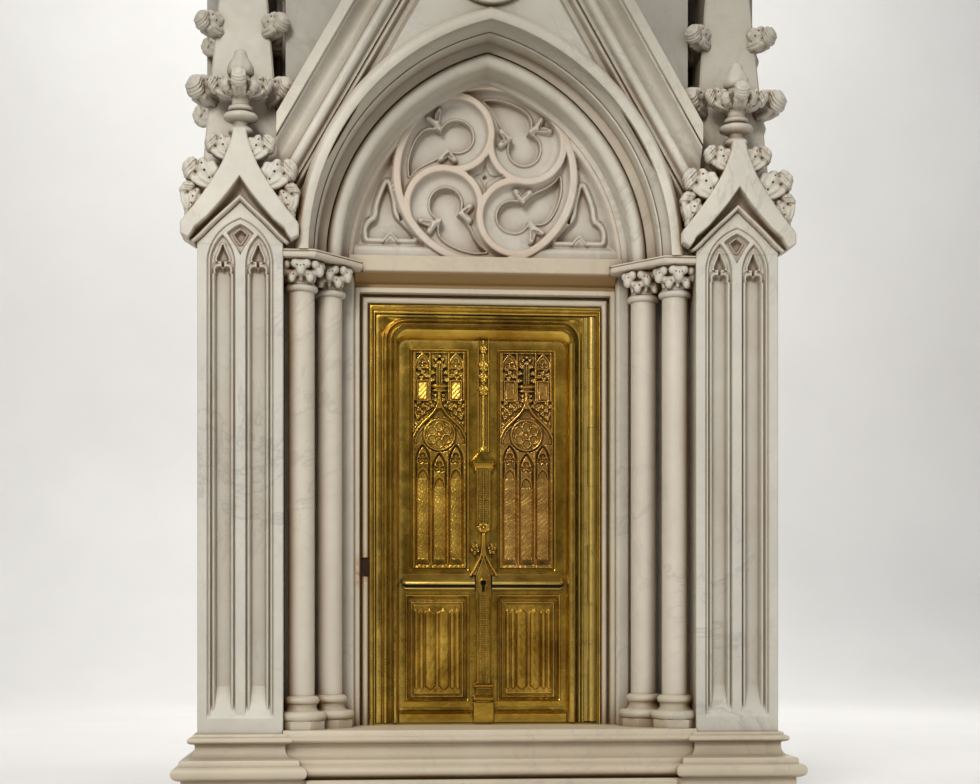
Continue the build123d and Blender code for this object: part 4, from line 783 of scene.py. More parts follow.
# knock the sharpest steps off, as sand casting does
for _ in range(1):
    Hp = np.pad(Ht, 1, mode="edge")
    Ht = (Ht * 4 + Hp[:-2, 1:-1] + Hp[2:, 1:-1] + Hp[1:-1, :-2] + Hp[1:-1, 2:]) / 8
Ht = Ht + wob
for s, nm in ((-1, "left"), (1, "right")):
    x = X0 + s * 59 + s * xs
    Yt = 9.0 - Ht
    if s < 0:
        hf("tracery_relief_left", x[::-1], zs, Yt[::-1], 9.9, M_BRASS_R, "door", ["tracery_panel_left"], sharp=0)
    else:
        hf("tracery_relief_right", x, zs, Yt, 9.9, M_BRASS_R, "door", ["tracery_panel_right"], sharp=0)

# linenfold
xs = np.arange(-38.8, 38.81, 0.5)
zs = np.arange(131.7, 266.9, 0.6)
Ag, Zg = np.meshgrid(xs, zs, indexing="ij")
Hl = np.full(Ag.shape, 1.5)
dx = np.maximum(np.abs(Ag) - 31, np.abs(Zg - 197) - 60)
Hl = np.where(dx < 6, lerp(dx, [-1.2, 0.0, 1.0, 2.0, 3.0, 4.0, 5.0, 6.0], [3.8, 3.6, 1.5, 1.5, 3.2, 3.6, 2.6, 1.5]), Hl)
Ba = np.abs(Ag)
fh = 3.9 + lerp(Ba, [0, 1.6, 3.0, 5.6, 9.3, 13.0, 15.4, 16.6, 17.4, 18.8, 20.8, 22.8, 24.0, 24.8, 26.2, 28.0, 29.8, 30.6], [0.1, 0.5, 2.8, 4.2, 4.7, 4.2, 2.8, 0.5, 0.3, 2.7, 3.6, 2.6, 0.3, 0.2, 1.9, 2.5, 1.5, 0])
wave = np.where(Ba < 17, 2.0 * np.cos((Ba - 9.3) / 13.6 * 2 * math.pi), 1.6 * np.cos((Ba - 20.8) / 7.2 * 2 * math.pi))
zin = np.minimum(249.5 + wave - Zg, Zg - 144.5 + wave)
Hl = np.where((Ba < 30.6) & (zin > 0), np.maximum(Hl, np.where(zin < 1.6, 3.8 + (fh - 3.8) * np.clip(zin / 1.6, 0, 1), fh)), Hl)
Hl = Hl + 0.08 * np.sin(Ag * 0.7 + Zg * 0.11) * np.sin(Zg * 0.27)
for s, nm in ((-1, "left"), (1, "right")):
    x = X0 + s * 62 + s * xs
    Yl = 9.8 - Hl
    if s < 0:
        x, Yl = x[::-1], Yl[::-1]
    hf("linenfold_relief_" + nm, x, zs, Yl, 9.95, M_BRASS_R, "door", ["linenfold_panel_" + nm], sharp=0)

# astragal
xs = np.arange(-18.2, 18.21, 0.45)
zs = np.arange(99, 613.2, 0.5)
Ag, Zg = np.meshgrid(xs, zs, indexing="ij")
B = np.abs(Ag)
H = np.full(Ag.shape, -1.0)
u = (Zg > 463) & (B < 8.2)
H = np.where(u, lerp(B, [0, 2.6, 3.4, 4.2, 5.0, 6.4, 7.6, 8.2], [4, 4, 5.6, 5.8, 4.2, 7.2, 7.2, 5.0]), H)
H = np.where(u & (B < 2.8), np.maximum(H, 5.2 + dome(B, 2.9, 3.2)), H)
H = np.where(u & (B < 2.4) & (Zg % 2.1 < 0.7), H - 0.6, H)
for zc, rw in ((600.7, 5.4), (579, 7.2), (563, 6.4), (546.6, 7.4)):
    for sx, sz, k in ((0, 0, 0.62), (0.62, 0.15, 0.5), (0.34, -0.62, 0.46), (0.3, 0.6, 0.42)):
        d = np.hypot(B - sx * rw, Zg - zc - sz * rw)
        H = np.where((B < 8.6) & (d < k * rw), np.maximum(H, 6.0 + dome(d, k * rw, 4.6) - 1.4 * np.exp(-(d / 0.8) ** 2)), H)
w = np.interp(Zg, [436, 438, 440, 444, 446, 450, 463.5, 470], [11, 14, 14, 15.5, 18, 18, 6.5, 3])
h = np.interp(Zg, [436, 438.5, 441, 444, 446.5, 450, 463.5, 470], [8, 10.6, 9.6, 11, 13.2, 13.2, 8.6, 7.4])
m = (Zg > 436) & (Zg < 470) & (B < w)
H = np.where(m, np.maximum(H, np.minimum(h, 5 + (w - B) * 1.9)), H)
m = (Zg > 364) & (Zg <= 438) & (B < 10.6)
rib = np.cos(Zg * (2 * math.pi / 2.4))
flute = np.maximum.reduce([dome(Ag - c, 1.5, 3.4) for c in (-8.4, 0, 8.4)])
H = np.where(m, 6.4 + np.maximum(flute, np.where((B > 2.0) & (B < 6.6), 1.0 + 0.7 * rib, 0)) + np.where((Zg > 398) & (Zg < 402), 0.8, 0), H)
m = (Zg > 150) & (Zg < 274) & (B < 9.5)
H = np.where(m, lerp(B, [0, 4.4, 4.7, 5.4, 6.2, 8.4, 9.5], [8.6, 8.6, 6.8, 6.8, 9.0, 9.0, 6.8]), H)
H = np.where(m & (B < 4.3), 6.9 + 0.75 * rib, H)
m = (Zg > 268) & (Zg < 366) & (B < 9.5)
H = np.where(m, np.maximum(H, 6.0), H)
w = np.interp(Zg, [99, 126, 127.5, 129, 134.5, 136, 138, 145, 147, 150.5, 152], [14.3, 14.3, 11, 14.3, 14.3, 11.4, 10.5, 10.5, 13.8, 13.8, 9.6])
h = np.interp(Zg, [99, 125.5, 127.5, 129, 131.7, 134.5, 136, 145, 147, 149, 151, 152], [11.4, 11.4, 9.4, 11.2, 12.6, 11.2, 9.4, 9.0, 11.2, 12.2, 11, 9])
H = np.where((Zg <= 152) & (B < w), np.maximum(H, h - 1.6 * np.clip((B - w + 1.6) / 1.6, 0, 1)), H)
cell = lambda G: np.maximum.reduce([G[:-1, :-1], G[1:, :-1], G[:-1, 1:], G[1:, 1:]])
M = cell(H) > 0.1
for _ in range(1):
    M[1:-1, 1:-1] &= (M[:-2, 1:-1] | M[2:, 1:-1]) & (M[1:-1, :-2] | M[1:-1, 2:])
avg = lambda G: (G[:-1, :-1] + G[1:, 1:]) / 2
M &= ~((avg(B) < 5.0) & (avg(Zg) > 273) & (avg(Zg) < 292))
hf("astragal_relief", X0 + xs, zs, 2.0 - np.maximum(H, -0.4), 2.9, M_BRASS_P, "door", ["astragal"], mask=M, sharp=0)

# keyhole hood: flowers, ogee arch and the pierced plate
xs = np.arange(-19.5, 19.51, 0.4)
zs = np.arange(264, 372, 0.45)
Ag, Zg = np.meshgrid(xs, zs, indexing="ij")
B = np.abs(Ag)
H = np.full(Ag.shape, -1.0)
ogee = [(17.4, 297.4), (15.6, 300.6), (11.6, 307), (7.6, 314.6), (4.8, 320), (2.6, 327), (1.4, 337), (0.8, 352)]
wid = np.where(Zg < 297.4, 9.6, np.interp(Zg, [z for _, z in ogee], [x for x, _ in ogee]))
H = np.where((B < wid) & (Zg > 266) & (Zg < 352), 6.4, H)
do = poly2(B, Zg, ogee)
H = np.where(Zg > 264, np.maximum(H, lerp(do, [0, 1.2, 2.2, 3.0], [11.6, 11.0, 8.2, -1])), H)
do2 = poly2(B, Zg, [(9.2, 268), (9.0, 296), (6.6, 303.4), (3.6, 310.4), (1.4, 317), (0, 322)])
H = np.where(B < wid, np.maximum(H, lerp(do2, [0, 0.8, 1.6], [9.4, 8.8, 6.4])), H)
H = np.where((B < 7.6) & (np.abs(Zg - 285) < 13), 7.4, H)
H = np.where((B < 2.6) & (Zg > 322) & (Zg < 352), np.maximum(H, 7 + dome(B, 2.7, 4.0)), H)


def flower(H, cx, cz, r, n, h):
    d = np.hypot(Ag - cx, Zg - cz)
    t = np.arctan2(Zg - cz, Ag - cx)
    rl = r * (0.80 + 0.20 * np.abs(np.cos(n * t / 2 + 0.4)))
    f = 5.0 + h * np.sqrt(np.clip(1 - (d / rl) ** 2.4, 0, 1)) + 1.2 * np.cos(n * t) * (d / r) * (d < rl)
    f = f - 1.8 * np.exp(-((d - 0.36 * r) / (0.12 * r)) ** 2) - 1.5 * np.exp(-(np.sin(n * t / 2) * d / (0.16 * r)) ** 2) * (d > 0.3 * r)
    return np.where(d < rl, np.maximum(H, f), H)


def knot(H, cx, cz, r, n, h, a0, sq=1.0):
    """A tuft of small curled leaves round a raised middle one."""
    for i in range(n):
        a = a0 + 2 * math.pi * i / n
        d = np.hypot(Ag - cx - 0.56 * r * math.cos(a), (Zg - cz - 0.56 * r * sq * math.sin(a)) / sq)
        w = 0.40 * r * (1 + 0.16 * math.sin(i * 2.3))
        f = 5.0 + (h - 0.8 * (i % 2)) * np.sqrt(np.clip(1 - (d / w) ** 2, 0, 1)) - 2.0 * np.exp(-(d / (0.13 * r)) ** 2)
        H = np.where(d < w, np.maximum(H, f), H)
    d = np.hypot(Ag - cx, Zg - cz)
    return np.where(d < 0.34 * r, np.maximum(H, 6.0 + h * np.sqrt(np.clip(1 - (d / (0.34 * r)) ** 2, 0, 1))), H)


H = knot(H, 0, 361, 10.4, 7, 8.6, 0.5, 0.84)
H = knot(H, -11.6, 332, 7.2, 5, 7.6, 0.9, 1.25)
H = knot(H, 11.2, 332, 7.0, 5, 7.6, 0.3, 1.25)
H = flower(H, -6.2, 319, 4.4, 3, 6.0)
H = flower(H, 6.2, 319, 4.4, 3, 6.0)
rim = np.minimum(np.hypot(Ag, Zg - 286.7) - 4.0, np.where((Zg < 286.7) & (Zg > 274.5), B - 1.9, 9.0))
rim = np.where(Zg <= 274.5, np.hypot(np.maximum(B - 1.9, 0), Zg - 274.5), rim)
H = np.where(rim < 1.6, np.maximum(H, 8.4), H)
M = (cell(H) > 0.1) & ~(cell(-rim) > 0.15)
hf("keyhole_hood_relief", X0 + xs, zs, 2.0 - np.maximum(H, -0.4), 2.9, M_BRASS_R, "door", ["keyhole_hood"], mask=M, sharp=0)
# dark back of the key passage, so that the lock shows as a shadow
kh_v, kh_f = lathe(0, 0, [(0, 1.2), (4.6, 1.2), (4.6, 3.6), (0, 3.6)], 24)
kh_v = np.stack([X0 + kh_v[:, 0], kh_v[:, 2] + 0.0, 285.5 + kh_v[:, 1] * 1.9], 1)
mk("key_passage_shadow", kh_v, kh_f, M_DARK, "door")

# ------------------------------------------------------------------ drip ledges
LP = [(2.9, 298.6), (1.6, 298.6), (0.6, 297.6), (-5.8, 289.4), (-7.2, 287.6), (-7.6, 286.0), (-6.9, 284.6), (-4.0, 284.2), (0.2, 284.0), (1.0, 283.2), (1.0, 281.2), (0.4, 280.8),
      (-2.8, 280.4), (-3.8, 279.6), (-3.9, 278.6), (-3.2, 277.8), (0.6, 277.0), (2.0, 276.4), (2.9, 276.4)]
rings_l, rings_r = [], []
for x, f in ((-115.0, 0.02), (-113.0, 0.35), (-110.2, 0.75), (-107.6, 0.97), (-106.4, 1.0), (-60.0, 1.0), (X0 - 12.0, 1.0)):
    rings_l.append(np.array([(x, 2.9 + (y - 2.9) * f, 288 + (z - 288) * (0.35 + 0.65 * f)) for y, z in LP]))
for x, f in ((X0 + 12.0, 1.0), (60.0, 1.0), (100.6, 1.0), (101.8, 0.97), (104.4, 0.75), (107.2, 0.35), (109.2, 0.02)):
    rings_r.append(np.array([(x, 2.9 + (y - 2.9) * f, 288 + (z - 288) * (0.35 + 0.65 * f)) for y, z in LP]))
tube("drip_ledge_moulded_left", rings_l, M_LEDGE, "door", ["drip_ledges"], 30)
tube("drip_ledge_moulded_right", rings_r, M_LEDGE, "door", (), 30)

# painted shadow: a black strip fills the slot under each nosing
for nm, xa, xb in (("left", -108.5, X0 - 12.2), ("right", X0 + 12.2, 102.6)):
    tube("ledge_painted_shadow_" + nm, [np.array([(x, y, z) for y, z in ((1.6, 280.7), (-2.6, 280.9), (-3.4, 281.6), (-3.6, 283.4), (-3.0, 284.4), (1.6, 284.4))])
                             for x in (xa, xa + 1.5, xb - 1.5, xb)], M_DARK, "door", (), 30)

# ------------------------------------------------------------------ tympanum
WZ = 834.8
step = 0.9
xs = np.arange(-184, 184.01, step)
zs = np.arange(719.2, 958, step)
Xg, Zg = np.meshgrid(xs, zs, indexing="ij")
U, W = Xg, Zg - WZ
rh = np.hypot(U, W)
ringd = np.abs(rh - 119.3) - 5.0
arcs = []
for k in range(4):
    t = 36.6 + 90 * k
    c = (70 * math.cos(math.radians(t)), 70 * math.sin(math.radians(t)))
    arcs.append(arcd(U, W, c, 49.6, t - 225, t) - 4.4)
bars = np.minimum.reduce([ringd] + arcs)


def rot(pts, k):
    a = math.radians(90 * k)
    return [(x * math.cos(a) - z * math.sin(a), x * math.sin(a) + z * math.cos(a)) for x, z in pts]


# opening of one mouchette at the level of the field: bulb, neck between two cusps, curved tail
F0 = [(-59.0, 58.5), (-55.6, 66), (-47, 73), (-36, 74.2), (-24.5, 69.6), (-17.4, 59), (-17.2, 47.5), (-23.5, 37.5), (-34, 32.6), (-44.5, 33.2),
      (-51.6, 36.6), (-58, 29.4), (-69, 21.6), (-82, 15.0), (-93, 8.0), (-101.5, -1.5),
      (-102.6, 14), (-99.6, 30), (-93.4, 45.4), (-86.4, 55.6), (-79.6, 60.8), (-70.6, 62.4), (-63.6, 60.6)]
F0 = smooth_pts(F0, (0, 10, 15), 5)
foil = np.minimum.reduce([sd_poly(U, W, rot(F0, k)) for k in range(4)])
eyes = []
for tri in ([(-72.5, 75.0), (-63.0, 84.6), (-62.6, 72.4)], [(-56.2, 23.6), (-49.6, 29.4), (-44.6, 23.4)]):
    eyes += [sd_poly(U, W, rot(tri, k)) for k in range(4)]
eye = np.minimum.reduce(eyes)
# corner spandrels: trefoiled triangles either side of the wheel
S0 = [(131.8, 822), (126.6, 802), (124.0, 784), (119.6, 775.2), (109.4, 765.6), (98.0, 752.6), (96.6, 749.6), (121.0, 749.6), (127.6, 757.6), (134.6, 749.6),
      (157.4, 749.6), (158.4, 760), (154.4, 768.6), (147.2, 773.4), (144.4, 780.4), (143.0, 792), (138.6, 806)]
S0 = smooth_pts(S0, (0, 3, 5, 6, 7, 8, 9, 10, 13), 4)
sp = sd_poly(np.abs(Xg), Zg, S0)
seye = np.minimum(sd_poly(np.abs(Xg), Zg, [(108.5, 775), (115.8, 782.4), (115.0, 772.4)]), sd_poly(np.abs(Xg), Zg, [(155.4, 777.2), (161.4, 783.4), (162.2, 773.4)]))
dia = sd_poly(U, W, [(0, 24.5), (-6.4, 8.6), (-24.5, 0), (-8.6, -6.4), (0, -24.5), (6.4, -8.6), (24.5, 0), (8.6, 6.4)])

Y = lerp(bars, [-2.4, -0.8, 0.0, 0.7, 2.0, 4.0, 7.0, 10.0], [-12.8, -12.6, -11.6, -7.0, -3.4, -0.6, 0.8, 1.2])
wheel = rh < 124.4
second = np.where(wheel, Y, -3.0)
inner = lerp(foil, [-3.6, -1.6, -0.5, 0.3, 1.2, 2.4, 3.4], [11.0, 10.6, 7.0, -1.6, -2.8, -1.6, 0.4])
Y = np.where(wheel & (bars > 0.6) & (foil < 3.4), np.where(foil < 0, np.maximum(Y, inner), np.minimum(Y, inner)), Y)
tips, arms = [], []
for k in range(4):
    for tip, apex, ends in (((-60.5, 59.0), (-65.5, 69.0), ((-77.5, 76.5), (-62.5, 88.0))), ((-52.2, 36.0), (-50.6, 31.0), ((-60.0, 21.0), (-41.5, 20.0)))):
        tips.append(seg2(U, W, *rot([tip, apex], k)))
        arms += [seg2(U, W, *rot([apex, e_], k)) for e_ in ends]
tips, arms = np.minimum.reduce(tips), np.minimum.reduce(arms)
Y = np.where(wheel & (bars > 0.4) & (foil > -0.4), np.minimum(Y, lerp(tips, [0, 0.9, 2.6, 5.0, 6.0], [-7.8, -7.2, -4.6, -1.6, 30])), Y)
Y = np.where(wheel & (bars > 0.2), np.minimum(Y, lerp(arms, [0, 1.0, 2.4, 4.2, 5.2], [-9.4, -9.0, -7.2, -4.6, 30])), Y)
Y = np.where(wheel & (eye < 0.6) & (bars > 0), np.maximum(Y, lerp(eye, [-2.6, -1.0, 0.6], [-3.2, -4.2, -6.4])), Y)
Y = np.where(dia < 0, np.maximum(Y, lerp(dia, [-7, -4, -1.5, 0], [4.0, 3.0, -3, -8])), Y)
Y = np.where(rh < 2.6, 9.0, Y)
# outside the wheel: second order plane, sunk spandrels, ledge
Rr = np.hypot(np.abs(Xg) + C, Zg - SPR)
fil = Rr - 262.0
out = ~wheel
yo = lerp(sp, [-3.6, -1.6, -0.4, 0.5, 1.5, 4.5, 8.5], [9.6, 9.0, 5.0, -1.6, -3.0, -4.4, -1.0])
yo = np.maximum(yo, lerp(seye, [-1.6, 0.0, 0.8], [4.0, 0.6, -9]))
yo = np.where(sp > 9, lerp(-fil, [0, 4.5, 6, 9, 12], [-13, -12.2, -8.5, -2.2, 0.8]), yo)
yo = np.minimum(yo, lerp(-fil, [0, 4.0, 5.4, 8], [-13.6, -12.8, -7.5, 8]))
led = np.where(Zg < 746, lerp(Zg, [719, 733, 737, 741, 746], [-9.0, -8.6, -6.0, 0.0, 2.0]), 9.0)
yo = np.minimum(yo, led)
og = np.maximum(seg2(np.abs(Xg), Zg, (117, 744), (127.6, 756)), 0)
og = np.minimum(og, seg2(np.abs(Xg), Zg, (138.2, 744), (127.6, 756)))
yo = np.where((og < 2.6) & (Zg > 741), np.minimum(yo, lerp(og, [0, 1.5, 2.6], [-6.5, -5.0, 0])), yo)
Y = np.where(out, yo, Y)
Y = np.where(out & (rh < 126), np.minimum(Y, -9), Y)
cellmin = lambda G: np.minimum.reduce([G[:-1, :-1], G[1:, :-1], G[:-1, 1:], G[1:, 1:]])
M = cell(fil) < 3.2
hf("tympanum_carved", xs, zs, Y, 40, M_TRACERY, "tabernacle", ["tympanum"], mask=M, sharp=0)

# ------------------------------------------------------------------ roundel in the gable
GY = bx("gable_wall")[0][1]
xs = np.arange(-60, 60.01, 0.8)
zs = np.arange(1026.4, 1148, 0.8)
Xg, Zg = np.meshgrid(xs, zs, indexing="ij")
U, W = Xg, Zg - 1087.0
rh = np.hypot(U, W)
q4 = [(24.5 * math.cos(math.radians(45 + 90 * k)), 24.5 * math.sin(math.radians(45 + 90 * k))) for k in range(4)]
fo = np.minimum.reduce([np.hypot(U - a, W - b) - 17.6 for a, b in q4] + [rh - 13.0])
ri = np.abs(rh - 54.0) - 3.6
Y = np.full(Xg.shape, GY - 0.8)
Y = np.where(rh < 56, lerp(fo, [-3.0, -1.4, -0.2, 0.8, 2.2, 3.6, 6.0], [GY - 0.9, GY - 1.4, GY - 5.4, GY - 6.4, GY - 6.2, GY - 4.6, GY - 3.0]), Y)
cu = np.minimum.reduce([np.hypot(np.abs(U) - 45.4, W), np.hypot(U, np.abs(W) - 45.4)])
Y = np.where((cu < 5.2) & (fo > 3.0), lerp(cu, [0, 3.2, 4.4, 5.2], [GY - 1.0, GY - 1.2, GY - 2.6, GY - 3.4]), Y)
Y = np.minimum(Y, lerp(ri, [-2.6, -1.0, 0.0, 0.8, 1.8], [GY - 9.6, GY - 9.2, GY - 7.6, GY - 4.0, GY - 0.6]))
cmx = lambda G: np.maximum.reduce([G[:-1, :-1], G[1:, :-1], G[:-1, 1:], G[1:, 1:]])
hf("gable_roundel", xs, zs, Y, GY + 4, M_CARVED, "tabernacle", mask=cmx(rh) < 58.6, sharp=0)

# ------------------------------------------------------------------ buttresses
DAG = [(0, 712.2), (-1.6, 707.6), (-3.8, 702.2), (-6.0, 697.4), (-6.8, 694.4), (-6.2, 692.6), (-4.4, 692.2), (-2.4, 693.2), (-0.9, 691.0), (-0.8, 685.0),
       (0.8, 685.0), (0.9, 691.0), (2.4, 693.2), (4.4, 692.2), (6.2, 692.6), (6.8, 694.4), (6.0, 697.4), (3.8, 702.2), (1.6, 707.6)]


def light_face(dx, Z):
    """Two lights with cusped heads under one arch, a diamond eye between them."""
    B, A = np.abs(dx), np.abs(np.abs(dx) - 22.2)
    big = lancet(dx, Z, 0.0, 42.4, 688, 746.5)
    y = lerp(-big, [0, 0.5, 1.2, 1.9, 2.6, 4.4, 5.0], [-110, -109.2, -107.4, -107.6, -109.0, -109.0, -108.4])
    sub_ = lancet(np.abs(dx) - 22.2, Z, 0.0, 16.0, 688, 725.4)
    prof = lerp(-sub_, [0, 0.5, 1.1, 1.7, 2.6, 3.8, 5.2, 6.2, 6.8, 7.4, 8.2], [-108.4, -106.8, -103.6, -103.8, -106.0, -107.0, -106.2, -104.0, -101.5, -97.5, -96.0])
    y = np.where(sub_ < 0, np.where(Z < 682, prof, lerp(-sub_, [0, 0.5, 1.1, 1.7, 2.4, 3.0], [-108.4, -106.8, -103.4, -103.4, -104.2, -104.6])), y)
    head = (sub_ < -2.2) & (Z >= 676)
    dag = sd_poly(np.abs(dx) - 22.2, Z, DAG)
    top = np.minimum(np.maximum(A - 8.4, Z - 680.4), np.hypot(A - 4.9, Z - 680.6) - 3.9)
    op = np.minimum(dag, top)
    yh = lerp(op, [-2.2, -0.8, 0.0, 0.7, 1.4, 2.6, 3.6, 4.4], [-96.0, -97.5, -101.0, -104.6, -105.8, -105.8, -104.4, -103.6])
    lob = np.abs(np.hypot(A - 4.9, Z - 680.6) - 9.6)
    yh = np.where((lob < 1.1) & (A > 6), np.maximum(yh, -102.6), yh)
    y = np.where(head, yh, y)
    # the eye between the arches
    dia = sd_poly(dx, Z, [(0, 739.0), (6, 736.2), (12.4, 731.6), (17.2, 727.2), (12.6, 720.4), (7.2, 712.2), (2.6, 704.2), (0, 699.4),
                          (-2.6, 704.2), (-7.2, 712.2), (-12.6, 720.4), (-17.2, 727.2), (-12.4, 731.6), (-6, 736.2)])
    y = np.where(dia < 0, lerp(-dia, [0, 0.6, 1.6, 2.4], [-108.4, -106.0, -102.8, -102.2]), y)
    eye = sd_poly(dx, Z, [(0, 732.0), (7.4, 726.0), (3.8, 719.8), (0, 714.6), (-3.8, 719.8), (-7.4, 726.0)])
    y = np.where(dia < -2.4, lerp(eye, [-2.4, -0.8, 0, 0.8, 1.8, 2.8], [-96.0, -97.5, -101.0, -104.6, -104.8, -102.2]), y)
    # splayed foot
    return np.where(Z < 152, np.minimum(y, lerp(Z, [112, 113, 118, 144, 152], [-110, -109.2, -107.6, -98.4, -96.0])), y)


xs = np.arange(-54, 54.01, 0.6)
zs = np.unique(np.round(np.concatenate([np.arange(92, 158, 1.2), np.arange(158, 668, 16.0), np.arange(668, 712.01, 0.6), [712]]), 3))
Xg, Zg = np.meshgrid(xs, zs, indexing="ij")
Y = light_face(Xg, Zg)
ed = np.minimum(54 - np.abs(Xg), 9)
Y = Y + np.where(ed < 1.2, (1.2 - ed) * 0.9, 0)
for s, nm in ((-1, "left"), (1, "right")):
    hf("buttress_panelled_" + nm, s * 320 + xs, zs, Y, 60, M_MARBLE, "tabernacle", ["buttress_" + nm], sharp=24)


# ------------------------------------------------------------------ base mouldings
PZ, BZ, SZ = bx("lower_plinth")[1][2], bx("buttress_base_left")[1][2], bx("sill_block")[1][2]
BP = [(PZ + 0.01, 21.0), (PZ + 0.6, 23.4), (36.4, 27.4), (38.4, 29.4), (41.0, 30.6), (44.0, 30.9), (47.0, 30.2), (49.4, 28.4), (51.0, 25.6), (51.8, 22.8), (52.2, 21.8), (57.8, 21.2), (59.2, 20.4),
      (59.8, 18.6), (60.4, 13.8), (62.0, 9.0), (64.6, 5.6), (68.6, 3.6), (73.6, 2.8), (77.6, 2.9), (78.8, 4.0), (79.4, 7.4), (80.4, 10.2), (82.2, 11.8), (84.0, 12.0), (86.0, 11.2), (87.4, 9.2),
      (88.0, 7.2), (88.5, 6.0), (90.6, 5.4), (91.5, 4.8), (BZ, 3.4)]
SP = [(PZ + 0.02, -117.2), (PZ + 0.8, -119.6), (37.4, -123.2), (39.4, -125.8), (42.0, -127.2), (44.8, -127.4), (47.6, -126.2), (49.8, -123.6), (51.2, -120.4), (52.0, -117.9), (52.6, -117.2), (57.2, -116.8),
      (58.4, -116.0), (59.2, -114.2), (60.4, -111.8), (62.6, -109.6), (66.0, -108.0), (71.0, -107.2), (76.8, -107.0), (78.2, -107.8), (78.9, -110.2), (79.6, -113.4), (81.0, -116.6), (83.0, -118.4),
      (85.0, -118.6), (86.8, -117.4), (87.8, -115.2), (88.2, -113.9), (89.2, -113.4), (SZ - 1.6, -113.0), (SZ - 0.6, -112.4), (SZ, -110.8)]
for s, nm in ((-1, "left"), (1, "right")):
    tube("buttress_base_moulded_" + nm, [np.array([(s * 320 + a, y, z) for a, y in ((-54 - o, -110 - o), (54 + o, -110 - o), (54 + o, 60), (-54 - o, 60))]) for z, o in BP],
         M_WARM, "tabernacle", ["buttress_base_" + nm], 34)
tube("sill_moulded", [np.array([(-266, y, z), (266, y, z), (266, 60, z), (-266, 60, z)]) for z, y in SP], M_WARM, "tabernacle", ["sill_block"], 34)

# ------------------------------------------------------------------ carved foliage
def crocket_sdf(P, Q, N):
    """P out from the edge, Q up along it, N towards the front: a broad lobed leaf, then its tip curled into a knob."""
    n = N / 1.2
    d = cap3(P, Q, n, (-10, -11, 0), (2, -5, 0), 6.4, 6.8)
    for c, r in (((2, -7, 0), (9.5, 6.0, 8)), ((9, -4, 0), (8.5, 7.0, 8.4)), ((3, 4, 0), (8.6, 8.4, 8.0)), ((10.5, 5, 0), (8.0, 7.6, 8.4)), ((4.5, 12.0, 0), (6.0, 5.0, 7.4)),
                 ((13.5, 12.4, 0), (5.6, 4.8, 7.0)), ((-3.5, 8.5, 0), (5.4, 4.4, 7.0))):
        d = smin(d, ell(P, Q, n, c, r), 2.8)
    for s in (-1, 1):
        d = smin(d, cap3(P, Q, n, (0, -12, 4.6 * s), (16.0, -8.0, 5.4 * s), 2.6, 3.6), 0.8)
    d = np.maximum(d, np.abs(n) - 8.2)
    k = cap3(P, Q, n, (12, -3, 0), (21, -5, 0), 4.6, 4.6)
    for c, r in (((23.0, -3.5, 0), (5.6, 6.4, 8.6)), ((27.0, 2.5, 0), (5.4, 6.6, 8.2)), ((24.0, 9.0, 0), (5.4, 5.2, 7.6)), ((20.5, 3.0, 0), (4.6, 5.2, 7.0))):
        k = smin(k, ell(P, Q, n, c, r), 2.6)
    d = smin(d, k, 0.7)
    ang = np.arctan2(Q - 2.5, P - 20.0)
    d = d + 0.50 * np.cos((P + 0.45 * Q) * 1.75) * np.clip((P - 18.5) / 2, 0, 1) + 0.50 * np.cos(np.arctan2(Q + 9, P + 8) * 13) * np.clip((16 - P) / 3, 0, 1)
    for a, r in (((8.6, 3.4), 1.25), ((1.4, -2.0), 1.1), ((17.4, -0.6), 1.3), ((13.6, 9.6), 0.9)):
        hole = np.maximum(np.sqrt((P - a[0]) ** 2 + (Q - a[1]) ** 2) - r, 2.6 - np.abs(n))
        d = np.maximum(d, -hole)
    return d


CR = {}
for key, h in (("fine", 1.0), ("mid", 1.5)):
    v, q = surf_nets((-19, -21, -14), (35, 21, 14), h, crocket_sdf)
    # flip if the surface turned inside out
    a, b, c_ = v[q[:, 0]], v[q[:, 1]], v[q[:, 2]]
    if (a * np.cross(b, c_)).sum() < 0:
        q = q[:, ::-1].copy()
    CR[key] = (v, q)


def crocket(kind, o, P, Q, N, k=1.0):
    v, q = CR[kind]
    P, Q, N = (np.array(t, float) / np.linalg.norm(t) for t in (P, Q, N))
    W = np.array(o) + k * (v[:, :1] * P + v[:, 1:2] * Q + v[:, 2:3] * N)
    if np.dot(np.cross(P, Q), N) < 0:
        q = q[:, ::-1].copy()
    return W, [q]


def circ3(p, q, r):
    (ax, ay), (bx_, by), (cx, cy) = p, q, r
    d = 2 * (ax * (by - cy) + bx_ * (cy - ay) + cx * (ay - by))
    ux = ((ax * ax + ay * ay) * (by - cy) + (bx_ * bx_ + by * by) * (cy - ay) + (cx * cx + cy * cy) * (ay - by)) / d
    uy = ((ax * ax + ay * ay) * (cx - bx_) + (bx_ * bx_ + by * by) * (ax - cx) + (cx * cx + cy * cy) * (bx_ - ax)) / d
    return (ux, uy), math.hypot(ax - ux, ay - uy)


H_OUT = smooth_pts([(-74, 723), (-74, 736), (-71, 741), (-56.5, 759), (-42, 779), (-30, 798), (-22, 812), (-15.5, 828), (-10, 844), (-8, 857),
                    (8, 857), (10, 844), (15.5, 828), (22, 812), (30, 798), (42, 779), (56.5, 759), (71, 741), (74, 736), (74, 723), (54, 710), (-54, 710)], (0, 1, 9, 10, 18, 19, 20, 21), 3)
H_IN = [(-66, 716), (-60, 724), (-56.5, 731), (-42, 743.4), (-27.2, 760), (-14, 776), (-4.6, 789.4), (0, 796),
        (4.6, 789.4), (14, 776), (27.2, 760), (42, 743.4), (56.5, 731), (60, 724), (66, 716), (66, 690), (-66, 690)]
ROLL = [(0, 772), (12, 760.4), (26.6, 747), (37, 737), (48.7, 724.5), (63, 711.5)]
xs = np.arange(-74.1, 74.2, 0.65)
zs = np.arange(711.5, 857, 0.65)
Xg, Zg = np.meshgrid(xs, zs, indexing="ij")
